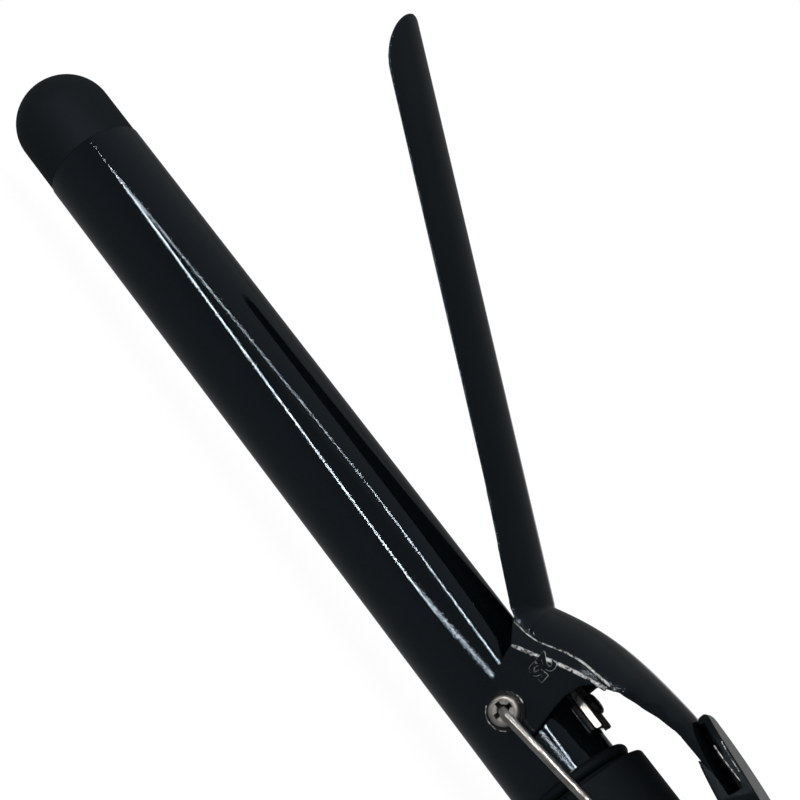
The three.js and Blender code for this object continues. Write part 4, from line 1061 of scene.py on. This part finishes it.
class IRON_OT_pivot_screws(bpy.types.Operator):
    """Build the two pivot screws, their washers and the spring's screw"""

    bl_idname = "iron.build_pivot_screws"
    bl_label = "Pivot screws"

    def execute(self, context):
        s = context.scene.iron_sizes
        for name, side in (("near", -1), ("far", 1)):
            self.pivot_screw(s, name, side)
            self.washer(s, name, side)
        self.spring_screw()
        return {"FINISHED"}

    def pivot_screw(self, s, name, side):
        """A hollow screw, with a turned ring round its cross recess, whose depth is painted darker as shade."""
        r = s.screw_head_r / MM
        bore, shank = s.wire_r / MM + SLIDING_GAP, 2.2
        head = s.ear_y / MM + 0.8
        top = head + 2
        inner = min(abs(reach(f"pivot_screw_{name}", 1, end)) for end in (-1, 1))
        low = top - 0.09
        ring = [(top, r - 0.86), (low, r - 0.95), (low, r - 1.12), (top, r - 1.21)]
        rim = [(head, r - 0.12), (head + 0.12, r), *rounded(top - 0.6, r - 0.5, 0.6, 0.5, end=80)]
        profile = [(inner, bore), (inner, shank), (head, shank), *rim, *ring, (top, bore)]
        screw = on_pivot(f"pivot_screw_{name}_skin", profile, side)
        screw = shaded(carved(screw, cross_recess(top, r * 1.38, 1.3, "Y", PIVOT_CENTRE, side)), SHARP)

        def in_recess(face):
            y, out = from_pivot(face)
            return top - 1.4 < y < top - 0.1 and out.length < r - 0.45

        # the recess's depth takes the painted shade
        second_finish(screw, in_recess)
        finished(screw, "nickel", "steel", "iron", f"pivot_screw_{name}", second="dull_nickel")

    def washer(self, s, name, side):
        """A dished washer with a raised lip, with highlight painted on the lip below and above."""
        base = s.ear_y / MM + SEAT_GAP
        top, hole, lip_r = base + 0.5, SCREW_HOLE, 4.2
        lip = rounded(top, lip_r, 0.17, 0.2, end=180, count=10)
        ring = [(base, hole), (base, lip_r + 0.05), (base + 0.15, lip_r + 0.2), *lip, (top, hole)]
        washer = on_pivot(f"pivot_washer_{name}_skin", ring, side)

        # highlight painted on the lip in two arcs, below and above the axis
        def lip_highlight_painted(face):
            y, out = from_pivot(face)
            way = math.atan2(abs(out.x), -out.y)  # nothing below the axis, half a turn above it
            return out.length > lip_r - 0.05 and y > top + 0.04 and (way < 0.95 or way > 2.90)

        second_finish(washer, lip_highlight_painted)
        washer = shaded(washer, SHARP)
        finished(washer, "black_steel", "black_steel", "iron", f"pivot_washer_{name}", second="rubbed_coat")

    def spring_screw(self):
        low, top = reach("spring_screw", 2, -1), reach("spring_screw", 2, 1)
        centre = (spring_screw_x(), 0, 0)
        under, shank = top - 1.6, 1.5
        crown = rounded(top - 0.9, 1.3, 0.9, 1.3)
        profile = [(low, 0), (low, 1.2), (low + 0.4, shank), (under, shank), (under, 2.6), *crown, (top, 0)]
        screw = lathe("spring_screw_skin", profile, 56, "Z", centre)
        screw = carved(screw, cross_recess(top, 2.8, 0.9, "Z", centre))
        finished(shaded(screw, SHARP), "black_steel", "black_steel", "iron", "spring_screw")


class IRON_OT_bracket(bpy.types.Operator):
    """Build the plated bracket, its tongue's turned-down edges and the blackened keeper on it"""

    bl_idname = "iron.build_bracket"
    bl_label = "Bracket"

    def execute(self, context):
        body = bpy.data.objects.new("bracket_body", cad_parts["pivot_bracket"].data.copy())
        context.scene.collection.objects.link(body)
        body.data.materials.clear()
        body = settled(edged(body, 0.2), "bracket_body")
        top, end = reach("pivot_bracket", 2, 1), reach("pivot_bracket", 0, 1)
        half = 4.5  # of the tongue's width
        side = half + 0.12
        low, high = top - 0.42, top + 0.06
        keeper = slab("keeper", [(2, low), (end - 0.5, low), (end - 0.5, high), (2, high)], -side, side)
        roll = [(-side, 0), (-side, 0.47), (0.1 - half, 0.62), (half - 0.1, 0.62), (side, 0.47), (side, 0)]
        roll = lathe("roll", roll, 32, "Y", (end - 0.45, 0, top - 0.56))
        black = [second_finish(piece) for piece in (body, keeper, roll)]
        lips = [self.lip(top, end, half, way) for way in (1, -1)]
        whole = shaded(joined("pivot_bracket_skin", [*black, *lips]), 30)
        finished(whole, "bright_nickel", "steel", "iron", "pivot_bracket", second="matt_black")
        return {"FINISHED"}

    def lip(self, top, end, half, way):
        """A turned-down edge that leans out a little towards its foot and its end."""
        high, low, tip = top - 0.3, top - 1.72, end - 0.3
        corner, thick = 0.7, 0.3
        turned = rounded(tip - corner, low + corner, corner, -corner)
        outline = [(1.5, high), (1.5, low), *turned, (tip, high)]
        lip = slab(f"lip_{way}", outline, half * way, (half - thick) * way)
        lean, flare = math.tan(math.radians(9)), math.tan(math.radians(2.3))
        start = place(5, 0, high)
        for v in lip.data.vertices:
            v.co.y += way * ((start.z - v.co.z) * lean + (v.co.x - start.x) * flare)
        return lip


ROUND = 0.448  # pulls this share of the way back from the corner make a cubic curve nearly circular


class IRON_OT_stand(bpy.types.Operator):
    """Bend the wire stand"""

    bl_idname = "iron.build_stand"
    bl_label = "Wire stand"

    def execute(self, context):
        s = context.scene.iron_sizes
        r = s.wire_r / MM
        arm_y = reach("wire_stand", 1, 1) - r
        foot_z = reach("wire_stand", 2, -1) + r - PIVOT_LIFT
        inner = s.ear_y / MM - 2.8
        arm = s.stand_arm / MM
        rise = arm * math.tan(math.radians(6.3))  # of the arms, from the pivot to the bends above the foot
        half = [(0, inner, 0, 0), (0, arm_y, 0, 2), (arm, arm_y, rise, 5), (arm, arm_y, foot_z, 7)]
        corners = [(x, -y, z, bend) for x, y, z, bend in half] + half[::-1]
        spots = [Vector((x, y, z + PIVOT_LIFT)) for x, y, z, _ in corners]
        line = [spots[0]]
        for before, spot, after, (*_, bend) in zip(spots, spots[1:], spots[2:], corners[1:]):
            into = spot + (before - spot).normalized() * bend
            out = spot + (after - spot).normalized() * bend
            line += bezier(into, (spot.lerp(into, ROUND), spot.lerp(out, ROUND), out), steps=14)
        line.append(spots[-1])
        finished(swept("wire_stand_skin", line, r), "wire_nickel", "steel", "stand", "wire_stand")
        return {"FINISHED"}


class IRON_OT_collar(bpy.types.Operator):
    """Build the collar with its rounded bead"""

    bl_idname = "iron.build_collar"
    bl_label = "Collar"

    def execute(self, context):
        s = context.scene.iron_sizes
        inner = s.barrel_r / MM + SEAT_GAP
        outer = inner + 1.5
        front, back = reach("heat_collar", 0, -1), reach("heat_collar", 0, 1)
        bulge, edge, flange = 1.45, 0.15, 2
        bead = rounded(front + bulge, s.bead_r / MM - bulge, bulge, bulge, count=20, start=-90)
        foot = front + 2 * bulge
        lip = back - 8
        seat = (s.handle_r - s.handle_wall) / MM - SLIDING_GAP
        profile = [
            (front, inner), *bead, (foot, outer + edge), (foot + edge, outer), (lip, outer), (lip, seat),
            (lip + flange, seat), (lip + flange, outer), (back, outer), (back, inner),
        ]
        collar = shaded(lathe("heat_collar_skin", profile, 128), SHARP)
        finished(collar, "satin_moulding", "matt_plastic", "iron", "heat_collar")
        return {"FINISHED"}


def handle_radius(s, x):
    """The handle's radius by distance from the pivot: a slight waist before its rear."""
    share = (x - s.handle_front / MM) / ((s.handle_rear - s.handle_front) / MM)

    def ease(a, b):
        t = max(0.0, min(1.0, (share - a) / (b - a)))
        return t ** 3 * (t * (t * 6 - 15) + 10)

    return s.handle_r / MM - 1.2 * ease(0.12, 0.7) + 0.7 * ease(0.74, 1)


class IRON_OT_handle(bpy.types.Operator):
    """Build the two handle shells, the rear cap and the cord outlet"""

    bl_idname = "iron.build_handle"
    bl_label = "Handle"

    def execute(self, context):
        s = context.scene.iron_sizes
        for name, side in (("upper", 1), ("lower", -1)):
            shell = self.shell(s, f"handle_shell_{name}_skin", side)
            cutters = self.openings() if side > 0 else self.screw_holes()
            shell = shaded(carved(shell, cutters), 25)
            finished(shell, "satin_moulding", "matt_plastic", "iron", f"handle_shell_{name}")
        self.rear_cap(s)
        self.gland(s)
        return {"FINISHED"}

    def shell(self, s, name, side):
        """Half of the handle, with a rounded front edge and a groove for the rear cap."""
        front, rear = s.handle_front / MM, s.handle_rear / MM
        wall, nose_wall, edge = s.handle_wall / MM, 2.4, 0.9
        collar = s.barrel_r / MM + 1.9
        start = front + edge
        stations = [start + (rear - start) * i / 60 for i in range(61)]
        lip = rounded(start, s.handle_r / MM - edge, -edge, edge)[::-1]
        outside = [*lip[:-1], *[(x, handle_radius(s, x)) for x in stations]]
        outside = sorted({(round(x, 4), round(q, 4)) for x, q in outside})
        groove = rear - 5
        wide, deep = 1.6, 1.5

        def bore(x):
            return handle_radius(s, x) - wall

        ridge = bore(groove)
        inside = [(rear, bore(rear)), (groove + wide, ridge), (groove + wide, ridge - deep)]
        inside += [(groove, ridge - deep), (groove, ridge)]
        inside += [(x, bore(x)) for x in stations[::-4] if front + 3 < x < groove - 1]
        inside += [(front + nose_wall, bore(front)), (front + nose_wall, collar), (front, collar)]
        bm = bmesh.new()
        sides = 72
        rings = []
        for x, q in [*outside, *inside]:
            gap = math.asin(SLIDING_GAP / 2 / q)  # half of the seam between the shells
            ring = []
            for i in range(sides + 1):
                a = gap + (math.pi - 2 * gap) * i / sides
                ring.append(bm.verts.new(place(x, q * math.cos(a), side * q * math.sin(a))))
            rings.append(ring)
        for one, two in zip(rings, rings[1:] + rings[:1]):
            skin(bm, one, two, closed=False)
        for k in (0, sides):
            bmesh.ops.triangulate(bm, faces=[bm.faces.new([ring[k] for ring in rings])])
        return made(name, bm)

    def openings(self):
        """Slider slot and lens bore of the upper shell."""
        tab = reach("power_slider", 0, -1) + 8
        slot = block("slot", (tab - 4.3, -2.6, 5), (tab + 8.3, 2.6, 40))
        return [slot, self.hole("indicator_lens", 2.1, 5, 30)]

    def screw_holes(self):
        return [self.hole(node, 3, -30, -8) for node in ("shell_screw_front", "shell_screw_rear")]

    def hole(self, node, r, low, high):
        """An upright round cutter in line with a node."""
        x = (middle(node).x - PIVOT.x) / MM
        return lathe(f"hole_{node}", [(low, 0), (low, r), (high, r), (high, 0)], 40, "Z", (x, 0, 0))

    def rear_cap(self, s):
        rear = s.handle_rear / MM
        end, tail = reach("rear_cap", 0, 1), reach("rear_cap", 1, 1)
        plug = tail - 2.2
        neck = plug - 1.5
        groove = rear - 5.3
        bore, soft, edge, chamfer = 6.3, 1.2, 0.15, 0.25
        face = rear + SLIDING_GAP
        profile = [
            (groove - 1.6, bore), (groove - 1.6, plug), (groove, plug), (groove, neck),
            (groove + 2.2, neck), (groove + 2.2, plug), (face, plug), (face, tail - edge),
            (face + edge, tail), *rounded(end - soft, tail - soft, soft, soft, count=10),
            (end, bore + chamfer), (end - chamfer, bore),
        ]
        cap = shaded(lathe("rear_cap_skin", profile, 112), SHARP)
        finished(cap, "satin_moulding", "matt_plastic", "iron", "rear_cap")

    def gland(self, s):
        """The swivelling cord outlet, with three ribs."""
        end, start = s.gland_end / MM, reach("swivel_gland", 0, -1)
        bore, flange = 3.4, 8.6
        profile = [(start, bore), (start, flange), (start + 2, flange), (start + 2, 6)]
        for i in range(3):
            x, r = end - 15 + i * 4, 6 - 0.2 * i
            dip = rounded(x + 1, r, 0.6, -0.75, count=10, start=-90)
            profile += [(x, r), (x + 0.25, r - 0.1), *dip, (x + 1.75, r - 0.12), (x + 2, r - 0.15)]
        profile += [(end - 0.9, 5.25), *rounded(end - 0.9, 4.5, 0.9, 0.75, count=6)]
        profile += [(end, bore + 0.2), (end - 0.2, bore)]
        gland = shaded(lathe("swivel_gland_skin", profile, 72), SHARP)
        finished(gland, "satin_moulding", "matt_plastic", "cord_swivel", "swivel_gland")


class IRON_OT_mechanism(bpy.types.Operator):
    """Finish the carried-over pieces: spring, slider, lens and everything inside"""

    bl_idname = "iron.finish_mechanism"
    bl_label = "Mechanism"

    def execute(self, context):
        finishes = {
            "spring_steel": ["clamp_spring"],
            "aluminium": ["heat_spreader_upper", "heat_spreader_lower"],
            "ceramic": ["ptc_heater", "thermal_fuse", "temperature_sensor"],
            "lead_red": ["heater_lead_live"],
            "lead_white": ["heater_lead_neutral"],
            "nickel": ["shell_screw_front", "shell_screw_rear"],
            "board": ["circuit_board"],
            "black_steel": ["slide_switch"],
            "satin_moulding": ["power_slider"],
            "amber": ["indicator_led", "indicator_lens"],
        }
        for name, nodes in finishes.items():
            for node in nodes:
                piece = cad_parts[node]
                piece.data.materials.clear()
                piece.data.materials.append(Finishes.of(name))
                shaded(piece, 30)
        edged(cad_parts["power_slider"], 0.18)
        return {"FINISHED"}


# ---- Stage ----------------------------------------------------------------------------------

BACKDROP_WAY = (0, 1, 0)  # from the iron to the white backdrop
PALE_WALL_WAY = (-0.62, -0.10, 0.77)  # up to the paler wall beyond the barrel's tip
SENSOR_WIDTH = 36
NEAREST, FARTHEST = 0.01, 50  # in metres, what the camera sees
FLOOR_HALF = 4.0
FLOOR_WHITE = 0.92  # share of the floor that glows white for the camera; the rest takes shadow
ROOM_LEVEL = 0.125  # of the studio's walls in gloss, against the backdrop's white
SOFT_LEVEL = 0.9  # of the light from all round on the finishes without gloss
STRIP_CORNERS = (  # in metres, the diamond of strip lamps beside the camera
    (-0.700, -1.0, 0.540), (-0.518, -1.0, 1.353), (-0.090, -1.0, 0.700), (-0.257, -1.0, 0.035),
)
STRIP_COLOUR = (1, 0.92, 0.87)
KEY_PLACE = (-0.5, -1.1, 1.3)
KEY_SIDE = 0.9
KEY_RADIANCE = 2.6


class IRON_OT_stage(bpy.types.Operator):
    """Set the camera, the floor, the lamps and the studio round the iron"""

    bl_idname = "iron.build_stage"
    bl_label = "Stage"

    def execute(self, context):
        scene = context.scene
        studio = scene.iron_studio
        scene.view_settings.view_transform = "Standard"
        self.camera(scene, studio)
        self.floor()
        self.world(scene)
        self.lamps(studio)
        return {"FINISHED"}

    def camera(self, scene, studio):
        data = bpy.data.cameras.new("camera")
        data.lens = studio.lens
        data.sensor_width = SENSOR_WIDTH
        data.clip_start, data.clip_end = NEAREST, FARTHEST
        camera = bpy.data.objects.new("camera", data)
        scene.collection.objects.link(camera)
        turned = Matrix.Rotation(studio.azimuth, 4, "Z")
        raised = Matrix.Rotation(math.radians(90) - studio.elevation, 4, "X")
        rolled = Matrix.Rotation(studio.roll, 4, "Z")
        camera.matrix_world = Matrix.Translation(studio.camera_place) @ turned @ raised @ rolled
        scene.camera = camera

    def floor(self):
        """A pale floor that shows almost white and keeps the iron's shadow."""
        bm = bmesh.new()
        bmesh.ops.create_grid(bm, x_segments=8, y_segments=8, size=FLOOR_HALF)
        floor = made("studio_floor", bm)
        floor.visible_glossy = False
        material, shader = new_finish("studio_floor")
        seen = shader.node("ShaderNodeLightPath")
        plain = shader.node("ShaderNodeBsdfDiffuse", {}, {"Color": (0.85, 0.85, 0.85, 1)})
        white = shader.node("ShaderNodeEmission", {}, {"Color": (1, 1, 1, 1), "Strength": 1.03})
        both = shader.node("ShaderNodeMixShader", {}, {0: seen * FLOOR_WHITE, 1: plain, 2: white})
        shader.node("ShaderNodeOutputMaterial", {}, {"Surface": both})
        floor.data.materials.append(material)

    def world(self, scene):
        """White where it is looked at; in gloss, a dark studio with one white wall; soft light for the rest."""
        scene.world = bpy.data.worlds.new("studio")
        shader = Shader(scene.world)
        way = shader.node("ShaderNodeTexCoord", output=0)
        seen, glossy, clear = (
            shader.node("ShaderNodeLightPath", output=name)
            for name in ("Is Camera Ray", "Is Glossy Ray", "Is Transmission Ray")
        )
        above = shader.along(way, (0, 0, 1))
        wall = shader.along(way, PALE_WALL_WAY)
        room = ROOM_LEVEL + shader.ramp(above, 0.1, -0.4) * 0.03  # a little paler towards the floor
        room = room + shader.ramp(wall, 0.69, 0.72) * 0.045 + shader.ramp(wall, 0.72, 0.95) * 0.05
        room = room + shader.ramp(shader.along(way, BACKDROP_WAY), 0.955, 0.995) * 0.85
        mirrored = glossy + clear
        soft = (1 - seen - mirrored) * SOFT_LEVEL
        strength = seen + mirrored * room + soft
        light = shader.node("ShaderNodeBackground", {}, {"Color": (1, 1, 1, 1), "Strength": strength})
        shader.node("ShaderNodeOutputWorld", {}, {"Surface": light})

    def lamps(self, studio):
        """Strip lamps draw the long highlights, and are seen only in gloss; one broad lamp lights the iron."""
        corners = [Vector(p) for p in STRIP_CORNERS]
        for i, (start, end) in enumerate(zip(corners, corners[1:] + corners[:1])):
            run = end - start
            slim = studio.strip_width * abs(run.x) / run.length  # slimmer the more upright it stands
            lamp = self.area(f"strip_{i}", run.length, slim, studio.strip_radiance, STRIP_COLOUR)
            along = run.normalized()
            out = (PIVOT - (start + end) / 2).normalized()
            out = (out - along * out.dot(along)).normalized()
            self.aim(lamp, (start + end) / 2, along, out)
            lamp.visible_diffuse = False
        key = self.area("key", KEY_SIDE, KEY_SIDE, KEY_RADIANCE)
        key.visible_glossy = False
        spot = Vector(KEY_PLACE)
        out = (PIVOT - spot).normalized()
        self.aim(key, spot, out.cross(Vector((0, 0, 1))).normalized(), out)

    def area(self, name, wide, high, radiance, shade=(1, 1, 1)):
        data = bpy.data.lights.new(name, "AREA")
        data.shape = "RECTANGLE"
        data.size = wide
        data.size_y = high
        data.energy = radiance * math.pi * wide * high
        data.color = shade
        lamp = bpy.data.objects.new(name, data)
        bpy.context.scene.collection.objects.link(lamp)
        return lamp

    def aim(self, lamp, spot, along, out):
        """Puts a lamp at a spot, with its width along one way and its light going out another."""
        across = (-out).cross(along)
        lamp.matrix_world = Matrix.Translation(spot) @ Matrix((along, across, -out)).transposed().to_4x4()


# ---- Panel and main -------------------------------------------------------------------------

PIECES = (
    IRON_OT_stage,
    IRON_OT_barrel,
    IRON_OT_tip_cap,
    IRON_OT_clamp,
    IRON_OT_thumb_grip,
    IRON_OT_pivot_screws,
    IRON_OT_bracket,
    IRON_OT_stand,
    IRON_OT_collar,
    IRON_OT_handle,
    IRON_OT_mechanism,
)


class IRON_PT_panel(bpy.types.Panel):
    """Lists the iron's pieces"""

    bl_label = "Curling Iron"
    bl_idname = "IRON_PT_panel"
    bl_space_type = "VIEW_3D"
    bl_region_type = "UI"
    bl_category = "Curling Iron"

    def draw(self, context):
        column = self.layout.column(align=True)
        for piece in PIECES:
            column.operator(piece.bl_idname)
        for group in (context.scene.iron_sizes, context.scene.iron_colours, context.scene.iron_studio):
            for name in group.bl_rna.properties.keys():
                if name not in ("rna_type", "name"):
                    self.layout.prop(group, name)


GROUPS = {"iron_sizes": IronSizes, "iron_colours": IronColours, "iron_studio": StudioSettings}


def register():
    for cls in (*GROUPS.values(), *PIECES, IRON_PT_panel):
        bpy.utils.register_class(cls)
    for name, group in GROUPS.items():
        setattr(bpy.types.Scene, name, PointerProperty(type=group))


def unregister():
    for name in GROUPS:
        delattr(bpy.types.Scene, name)
    for cls in (IRON_PT_panel, *reversed(PIECES), *reversed(GROUPS.values())):
        bpy.utils.unregister_class(cls)


def main():
    register()
    for piece in PIECES:
        area, call = piece.bl_idname.split(".")
        getattr(getattr(bpy.ops, area), call)()


if __name__ == "__main__":
    main()
